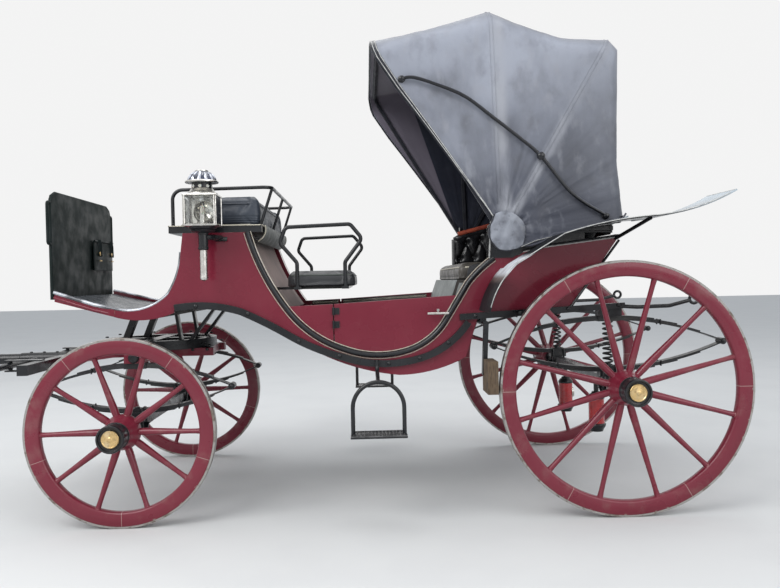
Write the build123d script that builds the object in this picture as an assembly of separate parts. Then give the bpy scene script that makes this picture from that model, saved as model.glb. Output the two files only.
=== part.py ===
from build123d import *
import os
from math import asin, atan2, cos, degrees, hypot, sin

os.makedirs("parts", exist_ok=True)

# A four-wheeled horse drawn carriage with a folding hood, a box seat and a low door on each side.
# Millimetres. X runs to the rear, Y to the carriage's right, Z up, with the ground at 0.
# Every piece is made with the rear axle at x = 0 and moved by rear_axle_x when it is saved,
# so that the finished carriage stands centred on the origin.

# Running gear
WHEEL_BASE = 2167
REAR_WHEEL_R = 550
FRONT_WHEEL_R = 406
REAR_TRACK = 1420
FRONT_TRACK = 1320
POLE_REACH = 2450
TYRE_THICK = 10
TYRE_WIDTH = 38
RIM_DEPTH = 60
RIM_WIDTH = 42
SPOKE_R_RIM = 11
SPOKE_R_NAVE = 17
DISH = 26
NAVE_R = 78
NAVE_END_R = 52
NAVE_INNER = 100
NAVE_OUTER = 62
COLLAR_R = 56
COLLAR_LENGTH = 82
COLLAR_WALL = 8
CAP_R = 34
CAP_SUNK = 5
CAP_DISH_SUNK = 12
CAP_BACK = 20
COLLAR_CLEAR = 10
SPOKE_INTO_NAVE = 22
SPOKE_INTO_RIM = 6
REAR_SPOKES = 12
FRONT_SPOKES = 10
AXLE_ARM_R = 22
AXLE_SIDE = 44
RUNNING_FIT = 0.05
AXLE_SHOULDER = 14
SHOULDER_LENGTH = 20
SHOULDER_GAP = 0.4
ARM_END_GAP = 24

# Springs
LEAF_WIDTH = 42
LEAF_THICK = 5.5
LEAVES = 4
LEAF_STEP = 0.2
EYE_R = 15
REAR_SPRING_HALF = 530
REAR_SPRING_RISE = 118
REAR_SPRING_Y = 460
FRONT_SPRING_HALF = 435
FRONT_SPRING_RISE = 104
FRONT_SPRING_Y = 420
SPRING_BLOCK = 22
SPRING_BLOCK_HALF = 45
SPRING_CLIP_HALF = 50
CLIP_PROUD = 4

# Body
BODY_HALF = 510
SIDE_THICK = 20
BOARD_THICK = 16
SILL_ABOVE_SPRING = 18
BEAD_WIDTH = 24
BEAD_PROUD = 14
DOOR_GAP = 5
NOSE_TAPER = 303
DASH_IN = 108
DASH_THICK = 22
DASH_HEIGHT = 494
DASH_CORNER = 60

# Turntable
RING_R = 280
RING_BAND = 45
RING_THICK = 22
RING_GAP = 0.4
KINGPIN_R = 16

# Steps, lamps, seats and hood
STEP_OUT = 235
STEP_Z = 390
LAMP_SIZE = 140
LAMP_OUT = 90
HOOD_OUT = 75
LEATHER = 9
HOOD_CORNER = 110
HOOD_BACK_CORNER = 70
WING_REACH = 280
SOFT_GAP = 0.3

LEAF_THICK_MID = LEAVES * LEAF_THICK
step_y = BODY_HALF + STEP_OUT
lamp_y = BODY_HALF + LAMP_OUT
hood_half = BODY_HALF + HOOD_OUT
wing_half = BODY_HALF + WING_REACH
dash_half = BODY_HALF - DASH_IN

front_axle_x = -WHEEL_BASE
rear_axle_x = (WHEEL_BASE + POLE_REACH + REAR_WHEEL_R) / 2 - REAR_WHEEL_R
rear_axle_z = REAR_WHEEL_R
front_axle_z = FRONT_WHEEL_R
rear_spring_z = rear_axle_z + AXLE_SIDE / 2 + SPRING_BLOCK + LEAF_THICK_MID / 2 + REAR_SPRING_RISE
front_spring_z = front_axle_z + AXLE_SIDE / 2 + SPRING_BLOCK + LEAF_THICK_MID / 2 + FRONT_SPRING_RISE
rear_spring_top = rear_spring_z + REAR_SPRING_RISE + LEAF_THICK_MID / 2
front_spring_top = front_spring_z + FRONT_SPRING_RISE + LEAF_THICK_MID / 2
sill_z = rear_spring_top + SILL_ABOVE_SPRING


UPRIGHT = (Align.CENTER, Align.CENTER, Align.MIN)


def save(node, shape):
    """Move a finished piece so that the carriage is centred, and write it under its node's name."""
    export_step(Pos(rear_axle_x, 0, 0) * shape, "parts/" + node + ".step")


def both_sides(shape):
    """The left piece with its mirror image on the right, as one node of two solids."""
    return Compound(children=[*shape.solids(), *mirror(shape, about=Plane.XZ).solids()])


PAN_FRONT = 700
PAN_REAR = -690


def place(end, across, up):
    """A point of the side view. Across is counted from the front axle (F) or the rear axle (R), or is a
    share of the pan (M), which stretches between them. Up is counted from the sill."""
    pan_x = front_axle_x + PAN_FRONT
    x = {"F": front_axle_x + across, "R": across, "M": pan_x + across * (PAN_REAR - pan_x)}[end]
    return (x, sill_z + up)


def edges(*steps):
    """Join points of the side view by straight lines, or by arcs where a middle point is given."""
    here = steps[0]
    made = []
    for step in steps[1:]:
        if len(step) == 2 and isinstance(step[0], tuple):
            made.append(ThreePointArc(here, step[0], step[1]))
            here = step[1]
        else:
            made.append(Line(here, step))
            here = step
    if hypot(here[0] - steps[0][0], here[1] - steps[0][1]) > 1e-6:
        made.append(Line(here, steps[0]))
    return made


def slab(made, y_low, y_high):
    """Give a side view outline its thickness between two lengthwise planes."""
    face = Plane.XZ * make_face(made)
    return Pos(0, y_high, 0) * extrude(face, amount=y_high - y_low, dir=(0, -1, 0))


def box_at(x0, x1, y0, y1, z0, z1):
    """A straight-sided block between two corners."""
    return Pos((x0 + x1) / 2, (y0 + y1) / 2, (z0 + z1) / 2) * Box(abs(x1 - x0), abs(y1 - y0), abs(z1 - z0))


def rod(a, b, radius):
    """A round bar from one point to another."""
    way = Vector(b) - Vector(a)
    return Plane(origin=a, z_dir=way) * Cylinder(radius, way.length, align=UPRIGHT)


def bar(a, b, width, depth, sideways=(0, 1, 0)):
    """A flat bar from one point to another, its width along sideways."""
    way = Vector(b) - Vector(a)
    return Plane(origin=a, x_dir=sideways, z_dir=way) * Box(width, depth, way.length, align=UPRIGHT)


def tube(points, bend, radius):
    """A round bar bent to run along some points."""
    path = FilletPolyline(*points, radius=bend)
    start = Plane(origin=path @ 0, z_dir=path % 0)
    return sweep(start * Circle(radius), path=path)


def circle_of(a, m, b):
    """Centre and radius of the arc through three points, or None where they are in line."""
    d = 2 * (a[0] * (m[1] - b[1]) + m[0] * (b[1] - a[1]) + b[0] * (a[1] - m[1]))
    if abs(d) < 1e-6:
        return None
    sa, sm, sb = (p[0] ** 2 + p[1] ** 2 for p in (a, m, b))
    cx = (sa * (m[1] - b[1]) + sm * (b[1] - a[1]) + sb * (a[1] - m[1])) / d
    cz = (sa * (b[0] - m[0]) + sm * (a[0] - b[0]) + sb * (m[0] - a[0])) / d
    return cx, cz


def normals(a, m, b):
    """Unit normals, to the left of travel, at the three points of an arc."""
    centre = circle_of(a, m, b)
    chord = (b[0] - a[0], b[1] - a[1])
    found = []
    for p in (a, m, b):
        if centre is None:
            n = (-chord[1], chord[0])
        else:
            n = (p[0] - centre[0], p[1] - centre[1])
            if n[1] * chord[0] - n[0] * chord[1] < 0:
                n = (-n[0], -n[1])
        size = hypot(*n)
        found.append((n[0] / size, n[1] / size))
    return found


def shifted(path, by):
    """A run of arcs moved sideways: path is start, middle, end, middle, end and so on."""
    count = (len(path) - 1) // 2
    arcs = [normals(*path[2 * i:2 * i + 3]) for i in range(count)]
    moved = []
    for i, p in enumerate(path):
        if i % 2:
            n = arcs[i // 2][1]
        else:
            near = ([arcs[i // 2 - 1][2]] if i else []) + ([arcs[i // 2][0]] if i // 2 < count else [])
            n = (sum(v[0] for v in near), sum(v[1] for v in near))
            size = hypot(*n)
            n = (n[0] / size, n[1] / size)
        moved.append((p[0] + n[0] * by, p[1] + n[1] * by))
    return moved


def arc_steps(path):
    """The steps that edges() wants for a run of arcs, after its first point."""
    return [(path[i], path[i + 1]) for i in range(1, len(path), 2)]


def band(path, above, below):
    """The closed outline of a strip that follows a run of arcs."""
    top = shifted(path, above)
    low = shifted(path, -below)[::-1]
    return edges(top[0], *arc_steps(top), low[0], *arc_steps(low))


# Wheels: each is made about its own centre with the outer side towards -Y, then moved or mirrored
def wheel_pieces(radius, spokes):
    """The wooden wheel, its iron tyre and its hub collar with the cap."""
    rim_out = radius - TYRE_THICK
    rim_in = rim_out - RIM_DEPTH
    about_y = Rot(90, 0, 0)
    tyre = about_y * (Cylinder(radius, TYRE_WIDTH) - Cylinder(rim_out, TYRE_WIDTH))
    rim = about_y * (Cylinder(rim_out, RIM_WIDTH) - Cylinder(rim_in, RIM_WIDTH))
    # Half section of the turned nave: x is the radius and y runs outwards along the axle
    nave = [(AXLE_ARM_R + RUNNING_FIT, -NAVE_INNER), (NAVE_END_R, -NAVE_INNER)]
    nave_line = edges(nave[0], nave[1], ((NAVE_R, -DISH), (COLLAR_R, NAVE_OUTER)),
                      (AXLE_ARM_R + RUNNING_FIT, NAVE_OUTER))
    wood = rim + Rot(90, 0, 0) * revolve(make_face(Plane.XZ * Wire(nave_line)), axis=Axis.Z)
    spoke_in = (0, DISH, NAVE_R - SPOKE_INTO_NAVE)
    spoke_out = (0, 0, rim_in + SPOKE_INTO_RIM)
    way = Vector(spoke_out) - Vector(spoke_in)
    spoke = Plane(origin=spoke_in, z_dir=way) * Cone(SPOKE_R_NAVE, SPOKE_R_RIM, way.length, align=UPRIGHT)
    for i in range(spokes):
        wood += Rot(0, (i + 0.5) * 360 / spokes, 0) * spoke
    end = NAVE_OUTER + COLLAR_LENGTH
    bore = AXLE_ARM_R + COLLAR_CLEAR
    collar_line = edges((0, end - CAP_SUNK), (CAP_R, end - CAP_SUNK), (CAP_R, end - CAP_DISH_SUNK),
                        (COLLAR_R - COLLAR_WALL, end - CAP_DISH_SUNK), (COLLAR_R - COLLAR_WALL, end),
                        (COLLAR_R, end), (COLLAR_R, NAVE_OUTER), (bore, NAVE_OUTER),
                        (bore, end - CAP_BACK), (0, end - CAP_BACK))
    collar = Rot(90, 0, 0) * revolve(make_face(Plane.XZ * Wire(collar_line)), axis=Axis.Z)
    return {"wheel": wood, "tyre": tyre, "hub": collar}


WHEELS = [  # name, radius, spokes, axle x, track
    ("front", FRONT_WHEEL_R, FRONT_SPOKES, front_axle_x, FRONT_TRACK),
    ("rear", REAR_WHEEL_R, REAR_SPOKES, 0, REAR_TRACK),
]
for end, radius, spokes, axle_x, track in WHEELS:
    for piece, shape in wheel_pieces(radius, spokes).items():
        left = Pos(axle_x, -track / 2, radius) * shape
        save(end + "_" + piece + "_left", left)
        save(end + "_" + piece + "_right", mirror(left, about=Plane.XZ))


# Axles
def axle(axle_x, axle_z, track):
    """A square iron bed with a round arm and a shoulder at each end."""
    inner = track / 2 - NAVE_INNER
    shoulder = inner - SHOULDER_LENGTH
    bed_half = shoulder + 2
    shape = box_at(axle_x - AXLE_SIDE / 2, axle_x + AXLE_SIDE / 2, -bed_half, bed_half,
                   axle_z - AXLE_SIDE / 2, axle_z + AXLE_SIDE / 2)
    arm_end = track / 2 + NAVE_OUTER + COLLAR_LENGTH - ARM_END_GAP
    for side in (-1, 1):
        shape += rod((axle_x, side * shoulder, axle_z), (axle_x, side * arm_end, axle_z), AXLE_ARM_R)
        shape += rod((axle_x, side * shoulder, axle_z), (axle_x, side * (inner - SHOULDER_GAP), axle_z),
                     AXLE_ARM_R + AXLE_SHOULDER)
    return shape


save("front_axle", axle(front_axle_x, front_axle_z, FRONT_TRACK))
save("rear_axle", axle(0, rear_axle_z, REAR_TRACK))


# Full elliptic springs: each half is a pack of leaves that get shorter away from the middle line
def leaf_half(axle_x, middle_z, half, rise, way):
    """The side view outlines of one bowed pack, with its long leaf on the inner side."""
    inner_rise = rise - LEAF_THICK_MID / 2
    radius = (half ** 2 + inner_rise ** 2) / (2 * inner_rise)
    centre_up = inner_rise - radius

    def point(bow, turn):
        return (axle_x + bow * sin(turn), middle_z + way * (centre_up + bow * cos(turn)))

    outlines = []
    for i in range(LEAVES):
        low = radius + i * LEAF_THICK
        high = low + LEAF_THICK
        turn = asin(half * (1 - LEAF_STEP * i) / low)
        outlines.append(edges(point(low, -turn), (point(low, 0), point(low, turn)), point(high, turn),
                              (point(high, 0), point(high, -turn))))
    return outlines


def elliptic(axle_x, middle_z, half, rise, y, bed_top):
    """Two leaf packs joined at their eyes, with a block on the axle bed and a clip round each middle."""
    made = None
    for way in (1, -1):
        for i, outline in enumerate(leaf_half(axle_x, middle_z, half, rise, way)):
            leaf_side = LEAF_WIDTH / 2 - i
            leaf = slab(outline, y - leaf_side, y + leaf_side)
            made = leaf if made is None else made + leaf
    clip_side = LEAF_WIDTH / 2 + CLIP_PROUD
    for side in (-1, 1):
        eye_x = axle_x + side * half
        made += rod((eye_x, y - clip_side, middle_z), (eye_x, y + clip_side, middle_z), EYE_R)
    low = middle_z - rise - LEAF_THICK_MID / 2
    made += box_at(axle_x - SPRING_BLOCK_HALF, axle_x + SPRING_BLOCK_HALF, y - clip_side, y + clip_side,
                   bed_top, low + CLIP_PROUD)
    made += box_at(axle_x - SPRING_CLIP_HALF, axle_x + SPRING_CLIP_HALF, y - clip_side, y + clip_side,
                   middle_z + rise - LEAF_THICK_MID / 2 - CLIP_PROUD, middle_z + rise + LEAF_THICK_MID / 2)
    return made


save("front_springs", both_sides(elliptic(front_axle_x, front_spring_z, FRONT_SPRING_HALF, FRONT_SPRING_RISE,
                                          -FRONT_SPRING_Y, front_axle_z + AXLE_SIDE / 2)))
save("rear_springs", both_sides(elliptic(0, rear_spring_z, REAR_SPRING_HALF, REAR_SPRING_RISE,
                                         -REAR_SPRING_Y, rear_axle_z + AXLE_SIDE / 2)))

# A coil spring stands inside each rear elliptic spring
COIL_R = 25
COIL_WIRE = 5
COIL_TURNS = 14
coil_low = rear_spring_z - REAR_SPRING_RISE + LEAF_THICK_MID / 2 + SOFT_GAP
coil_high = rear_spring_z + REAR_SPRING_RISE - LEAF_THICK_MID / 2 - CLIP_PROUD - SOFT_GAP
coil_pitch = (coil_high - coil_low) / COIL_TURNS
coil_line = [(0, 0), (COIL_R - COIL_WIRE, 0)]
for i in range(COIL_TURNS):
    coil_line.append(((COIL_R, (i + 0.5) * coil_pitch), (COIL_R - COIL_WIRE, (i + 1) * coil_pitch)))
coil_line.append((0, COIL_TURNS * coil_pitch))
coil = revolve(make_face(Plane.XZ * Wire(edges(*coil_line))), axis=Axis.Z)
save("coil_springs", both_sides(Pos(0, -REAR_SPRING_Y, coil_low) * coil))

# Fore-carriage: bolster, futchells, lower ring, splinter bar and pole
BOLSTER_HALF = 455
BOLSTER_DEPTH = 90
BOLSTER_HEIGHT = 40
FUTCHELL_Y = 150
FUTCHELL_SIDE = 38
FUTCHELL_BACK = 300
FUTCHELL_BEND = 190
CROSS_BAR = 40
RING_SPOKE = 60
SPLINTER_DROP = 30
SPLINTER_X = 430
SPLINTER_HALF = 560
SPLINTER_SIDE = 46
POLE_R = 25
SLEEVE_R = 31
SLEEVE_LENGTH = 230
POLE_HEAD_R = 34
POLE_HEAD_LENGTH = 26
POLE_HEAD_BACK = 60
POLE_RING_R = 22
POLE_RING_WIRE = 6
POLE_RING_UP = 48
TREE_HALF = 270
TREE_R = 16
TREE_Y = 335
TREE_AHEAD = 130
TREE_PIN_R = 9
TREE_EAR = 40
TREE_EAR_THICK = 6
TREE_EAR_GAP = 5
TREE_RING_R = 16
TREE_RING_WIRE = 5
TREE_RING_AHEAD = 22
TREE_RING_IN = 12
bolster_low = front_spring_top
bolster_top = bolster_low + BOLSTER_HEIGHT
ring_low = bolster_top
ring_top = ring_low + RING_THICK
plate_low = ring_top + RING_GAP
plate_top = plate_low + RING_THICK

frame = box_at(front_axle_x - BOLSTER_DEPTH / 2, front_axle_x + BOLSTER_DEPTH / 2,
               -BOLSTER_HALF, BOLSTER_HALF, bolster_low, bolster_top)
futchell_z = bolster_top - FUTCHELL_SIDE / 2
splinter_x = front_axle_x - SPLINTER_X
splinter_z = futchell_z - SPLINTER_DROP
for side in (-1, 1):
    y = side * FUTCHELL_Y
    frame += box_at(front_axle_x - FUTCHELL_BEND, front_axle_x + FUTCHELL_BACK,
                    y - FUTCHELL_SIDE / 2, y + FUTCHELL_SIDE / 2, bolster_top - FUTCHELL_SIDE, bolster_top)
    frame += bar((front_axle_x - FUTCHELL_BEND + 2, y, futchell_z), (splinter_x, y, splinter_z),
                 FUTCHELL_SIDE, FUTCHELL_SIDE)
for x in (-RING_R + RING_BAND / 2, RING_R - RING_BAND / 2):
    cross_x = front_axle_x + x
    frame += box_at(cross_x - CROSS_BAR / 2, cross_x + CROSS_BAR / 2, -FUTCHELL_Y, FUTCHELL_Y,
                    bolster_top - FUTCHELL_SIDE, bolster_top)
frame -= Pos(front_axle_x, 0, bolster_low) * Cylinder(KINGPIN_R + RUNNING_FIT, 3 * BOLSTER_HEIGHT)
frame -= box_at(splinter_x - 60, splinter_x, -FUTCHELL_Y - 40, FUTCHELL_Y + 40,
                bolster_low - 60, bolster_top)
save("fore_frame", frame)

ring = Cylinder(RING_R, RING_THICK) - Cylinder(RING_R - RING_BAND, RING_THICK)
ring += Box(2 * RING_R - RING_BAND, RING_SPOKE, RING_THICK)
ring += Box(RING_SPOKE, 2 * RING_R - RING_BAND, RING_THICK)
lower = ring - Cylinder(KINGPIN_R + RUNNING_FIT, RING_THICK)
save("lower_ring", Pos(front_axle_x, 0, ring_low + RING_THICK / 2) * lower)

splinter = box_at(splinter_x - SPLINTER_SIDE, splinter_x, -SPLINTER_HALF, SPLINTER_HALF,
                  splinter_z - SPLINTER_SIDE / 2, splinter_z + SPLINTER_SIDE / 2)
splinter_front = splinter_x - SPLINTER_SIDE
tree_x = splinter_front - TREE_AHEAD
for side in (-1, 1):
    for way in (-1, 1):
        ear_mid = splinter_z + way * (TREE_R + TREE_EAR_GAP + TREE_EAR_THICK / 2)
        splinter += box_at(tree_x - TREE_EAR / 2, splinter_front + TREE_EAR / 2,
                           side * TREE_Y - TREE_EAR / 2, side * TREE_Y + TREE_EAR / 2,
                           ear_mid - TREE_EAR_THICK / 2, ear_mid + TREE_EAR_THICK / 2)
    pin_length = 2 * (TREE_R + TREE_EAR_GAP + TREE_EAR_THICK) - 2
    splinter += Pos(tree_x, side * TREE_Y, splinter_z) * Cylinder(TREE_PIN_R, pin_length)
save("splinter_bar", splinter)

pole_tip = front_axle_x - POLE_REACH
pole_foot = splinter_front
pole = rod((pole_foot, 0, splinter_z), (pole_tip, 0, splinter_z), POLE_R)
pole += rod((pole_foot, 0, splinter_z), (pole_foot - SLEEVE_LENGTH, 0, splinter_z), SLEEVE_R)
head_x = pole_tip + POLE_HEAD_BACK
pole += Pos(head_x, 0, splinter_z) * (Rot(0, 90, 0) * Cylinder(POLE_HEAD_R, POLE_HEAD_LENGTH))
for way in (1, -1):
    head_ring = Rot(0, 90, 0) * Torus(POLE_RING_R, POLE_RING_WIRE)
    pole += Pos(head_x, 0, splinter_z + way * POLE_RING_UP) * head_ring
save("pole", pole)

for name, side in (("left", -1), ("right", 1)):
    tree_y = side * TREE_Y
    tree = rod((tree_x, tree_y - TREE_HALF, splinter_z), (tree_x, tree_y + TREE_HALF, splinter_z), TREE_R)
    for end in (-1, 1):
        ring_y = tree_y + end * (TREE_HALF - TREE_RING_IN)
        tree += Pos(tree_x - TREE_RING_AHEAD, ring_y, splinter_z) * Torus(TREE_RING_R, TREE_RING_WIRE)
    tree -= Pos(tree_x, tree_y, splinter_z) * Cylinder(TREE_PIN_R + RUNNING_FIT, 4 * TREE_R)
    save("swingletree_" + name, tree)

# Body sides: one board a side from the nose to the back, with the doorway cut down to the bead
BOX_UP = 392
bead_line = [place("F", 533, BOX_UP), place("F", 607, 198), place("F", 715, 26), place("M", 0.163, -78),
             place("M", 0.332, -143), place("M", 0.524, -172), place("M", 0.704, -152),
             place("M", 0.833, -98), place("M", 0.929, -10), place("R", -697, 67),
             place("R", -650, 144), place("R", -600, 198), place("R", -530, 255)]
LOW_TOP_FRONT = 62
LOW_TOP_REAR = 91
HINGE_X = 910
hinge_x = front_axle_x + HINGE_X
low_front = (bead_line[2][0] - 22, sill_z + 55)
low_rear = (bead_line[9][0] + 8, sill_z + LOW_TOP_REAR)
body_top = [place("F", -65, 57), (place("F", 40, 51), place("F", 175, 120)),
            (place("F", 212, 192), place("F", 235, 305)), place("F", 246, BOX_UP)]
body_rear = [place("R", -450, 282), place("R", -280, 314), place("R", 50, 353), place("R", -188, 15),
             place("R", -606, -10)]
body_low = [place("R", -664, -190), (place("M", 0.846, -245), place("M", 0.647, -264)),
            (place("M", 0.369, -218), place("M", 0.136, -137)), place("F", 704, -72),
            (place("F", 600, -16), place("F", 500, 30)), (place("F", 350, 62), place("F", 205, 60)),
            place("F", 198, 37), (place("F", 70, 8), place("F", -65, 25))]
edge_line = shifted(bead_line, BEAD_WIDTH / 2)
side_line = edges(*body_top, edge_line[0], *arc_steps(edge_line), *body_rear, *body_low)
side_board = slab(side_line, -BODY_HALF, -BODY_HALF + SIDE_THICK)
# The low fixed panel in front of the door, and the door itself, fill the space above the bead
opening_line = shifted(bead_line, BEAD_WIDTH / 2 + DOOR_GAP)
fill_line = edges(low_front, place("F", HINGE_X, LOW_TOP_FRONT), low_rear,
                  (bead_line[9][0] + 40, sill_z + 60), (bead_line[8][0] + 40, bead_line[8][1]),
                  (bead_line[6][0], bead_line[6][1] - 40), (bead_line[4][0], bead_line[4][1] - 40),
                  (bead_line[2][0] - 30, bead_line[2][1] - 40))
fill = slab(fill_line, -BODY_HALF, -BODY_HALF + SIDE_THICK)
front_part = box_at(hinge_x - 800, hinge_x - DOOR_GAP / 2, -BODY_HALF, -BODY_HALF + SIDE_THICK, 0, 3000)
side_board += fill & front_part
side_board -= box_at(hinge_x - 900, hinge_x, -BODY_HALF - 40, -BODY_HALF + 40, sill_z + BOX_UP, sill_z + 500)

# The nose narrows towards the dashboard, so its side board is made flat and then turned inwards
nose_x = place("F", -65, 0)[0]
nose_end = nose_x - NOSE_TAPER
nose_turn = degrees(atan2(DASH_IN, NOSE_TAPER))
nose_length = hypot(DASH_IN, NOSE_TAPER)
NOSE_RIM = 135
NOSE_BOTTOM = 96
nose_line = edges((4, sill_z + 57), (-nose_length * 0.3, sill_z + 76), (-nose_length, sill_z + NOSE_RIM),
                  (-nose_length, sill_z + NOSE_BOTTOM), (-nose_length * 0.3, sill_z + 46), (4, sill_z + 25))
nose_side = Pos(nose_x, -BODY_HALF, 0) * (Rot(0, 0, -nose_turn) * slab(nose_line, 0, SIDE_THICK))
side_board += nose_side
save("body_side_left", side_board)
save("body_side_right", mirror(side_board, about=Plane.XZ))

above_edge = edges(opening_line[0], *arc_steps(opening_line), (opening_line[0][0], opening_line[-1][1]))
door_space = slab(above_edge, -BODY_HALF, -BODY_HALF + SIDE_THICK)
rear_part = box_at(hinge_x + DOOR_GAP / 2, hinge_x + 900, -BODY_HALF, -BODY_HALF + SIDE_THICK, 0, 3000)
door = (fill & door_space) & rear_part
# Hinge knuckles stand on the outer face on the hinge line
HINGE_R = 6
HINGE_OUT = 7
HINGE_LENGTH = 34
HINGE_UPS = (-30, 30)
FLAP_REACH = 26
FLAP_THICK = 4
FLAP_HEIGHT = 30
GRIP_AHEAD = 100
GRIP_UP = 12
GRIP_LENGTH = 95
GRIP_R = 6
GRIP_OUT = 30
SPINDLE_UP = 14
SPINDLE_END = 4
hinge_y = -BODY_HALF - HINGE_OUT
grip_x = low_rear[0] - GRIP_AHEAD
grip_y = -BODY_HALF - GRIP_OUT
grip_z = sill_z + GRIP_UP
spindle_z = grip_z + SPINDLE_UP
for up in HINGE_UPS:
    door += Pos(hinge_x, hinge_y, sill_z + up) * Cylinder(HINGE_R, HINGE_LENGTH)
    door += box_at(hinge_x, hinge_x + FLAP_REACH, -BODY_HALF - FLAP_THICK, -BODY_HALF,
                   sill_z + up - FLAP_HEIGHT / 2, sill_z + up + FLAP_HEIGHT / 2)
door += rod((grip_x, -BODY_HALF, spindle_z), (grip_x, grip_y - SPINDLE_END, spindle_z), GRIP_R)
door += rod((grip_x - GRIP_LENGTH / 2, grip_y, grip_z), (grip_x + GRIP_LENGTH / 2, grip_y, grip_z), GRIP_R)
door += rod((grip_x, grip_y, spindle_z), (grip_x, grip_y, grip_z), GRIP_R - 1)
save("door_left", door)
save("door_right", mirror(door, about=Plane.XZ))

# Beads and rocker irons on the outside of the body
bead = slab(band(bead_line, BEAD_WIDTH / 2, BEAD_WIDTH / 2), -BODY_HALF - BEAD_PROUD, -BODY_HALF)
bead -= box_at(hinge_x - 900, hinge_x, -BODY_HALF - 40, -BODY_HALF + 40, sill_z + BOX_UP, sill_z + 500)
save("body_beads", both_sides(bead))
rocker_line = [place("F", 205, 61), place("F", 350, 68), place("F", 501, 38), place("F", 600, -10),
               place("F", 700, -66), place("M", 0.129, -120), place("M", 0.322, -175),
               place("M", 0.575, -208), place("M", 0.766, -188), place("M", 0.923, -130),
               place("R", -652, -30)]
BODY_PAD = 20
IRON_ABOVE = 14
IRON_BELOW = 17
IRON_PROUD = BEAD_PROUD + 4
rocker = slab(band(rocker_line, IRON_ABOVE, IRON_BELOW), -BODY_HALF - IRON_PROUD, -BODY_HALF)
sill_line = edges(place("R", -690, 6), place("R", -188, 31), place("R", 60, 42), place("R", 60, 16),
                  place("R", -188, 2), place("R", -690, -22))
sill_iron = slab(sill_line, -BODY_HALF - IRON_PROUD, -BODY_HALF)
sill_iron += box_at(-SPRING_CLIP_HALF, SPRING_CLIP_HALF, -BODY_HALF - 2, -REAR_SPRING_Y + LEAF_WIDTH / 2,
                    rear_spring_top, sill_z + BODY_PAD)
# A round stay with a ring at its end runs on to the rear
STAY_R = 9
STAY_END = 360
STAY_BEND = 60
STAY_RING_R = 20
STAY_RING_WIRE = 7
stay_y = -BODY_HALF - STAY_R
stay_line = [(10, 28), (120, 20), (266, 23), (STAY_END, 46)]
sill_iron += tube([(x, stay_y, sill_z + up) for x, up in stay_line], STAY_BEND, STAY_R)
stay_ring = Rot(90, 0, 0) * Torus(STAY_RING_R, STAY_RING_WIRE)
sill_iron += Pos(STAY_END + STAY_RING_R, stay_y, sill_z + 52) * stay_ring
save("sill_irons", both_sides(sill_iron))
rocker -= box_at(-720, 100, -BODY_HALF - 60, -BODY_HALF + 60, sill_z - 24, sill_z + 60)
save("rocker_irons", both_sides(rocker))

# Bottom boards follow the lower edge between the two sides
inner_half = BODY_HALF - SIDE_THICK
bottom_line = [place("F", -368, 98), place("F", -200, 54), place("F", -65, 27), place("F", 60, 8),
               place("F", 198, 39), place("F", 350, 64), place("F", 500, 32), place("F", 600, -14),
               place("F", 704, -70), place("M", 0.071, -104), place("M", 0.136, -135),
               place("M", 0.369, -216), place("M", 0.647, -262), place("M", 0.846, -243),
               place("R", -664, -188)]
bottom = slab(band(bottom_line, BOARD_THICK, 0), -inner_half, inner_half)
for way in (-1, 1):
    wedge_line = [(nose_x + 2, way * inner_half), (nose_end - 5, way * (inner_half - DASH_IN - 4)),
                  (nose_end - 5, way * wing_half), (nose_x + 2, way * wing_half)]
    wedge = Plane.XY * make_face(Polyline(*wedge_line, close=True))
    bottom -= extrude(wedge, amount=2000)
bottom -= both_sides(nose_side)
riser = edges(place("R", -664, -188), place("R", -606, -8), place("R", -188, 17),
              place("R", -188, 17 + BOARD_THICK), place("R", -618, -8 + BOARD_THICK), place("R", -680, -188))
bottom += slab(riser, -inner_half, inner_half)
save("body_bottom", bottom)

# Cross boards of the box seat, and the boards of the rear seat
cross_line = edges(place("F", 198, 130), (place("F", 226, 192), place("F", 244, 305)),
                   place("F", 256, BOX_UP), place("F", 272, BOX_UP),
                   (place("F", 242, 192), place("F", 214, 116)))
box_boards = slab(cross_line, -inner_half, inner_half)
back_line = edges(place("F", 500, BOX_UP), (place("F", 574, 198), place("F", 682, 26)), place("F", 694, 32),
                  (place("F", 590, 200), place("F", 518, BOX_UP)))
back_line_low = edges(place("F", 682, 26), place("F", 694, 32), place("F", 716, -40), place("F", 700, -50))
box_boards += slab(back_line, -inner_half, inner_half)
box_boards += slab(back_line_low, -inner_half, inner_half)
save("box_boards", box_boards - bottom)

SEAT_FRONT = -745
SEAT_BACK = -110
SEAT_TOP = 160
seat = edges(place("R", SEAT_FRONT, -200), place("R", SEAT_FRONT, SEAT_TOP), place("R", SEAT_BACK, SEAT_TOP),
             place("R", SEAT_BACK - 11, SEAT_TOP - BOARD_THICK),
             place("R", SEAT_FRONT + BOARD_THICK, SEAT_TOP - BOARD_THICK),
             place("R", SEAT_FRONT + BOARD_THICK, -200))
seat_box = slab(seat, -inner_half, inner_half) - bottom

back_board = edges(place("R", -188, 34), place("R", 50, 353), place("R", 32, 353), place("R", -206, 34))
rear_panel = slab(back_board, -inner_half, inner_half)
save("rear_panel", rear_panel)
save("rear_seat_box", seat_box - rear_panel)

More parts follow.
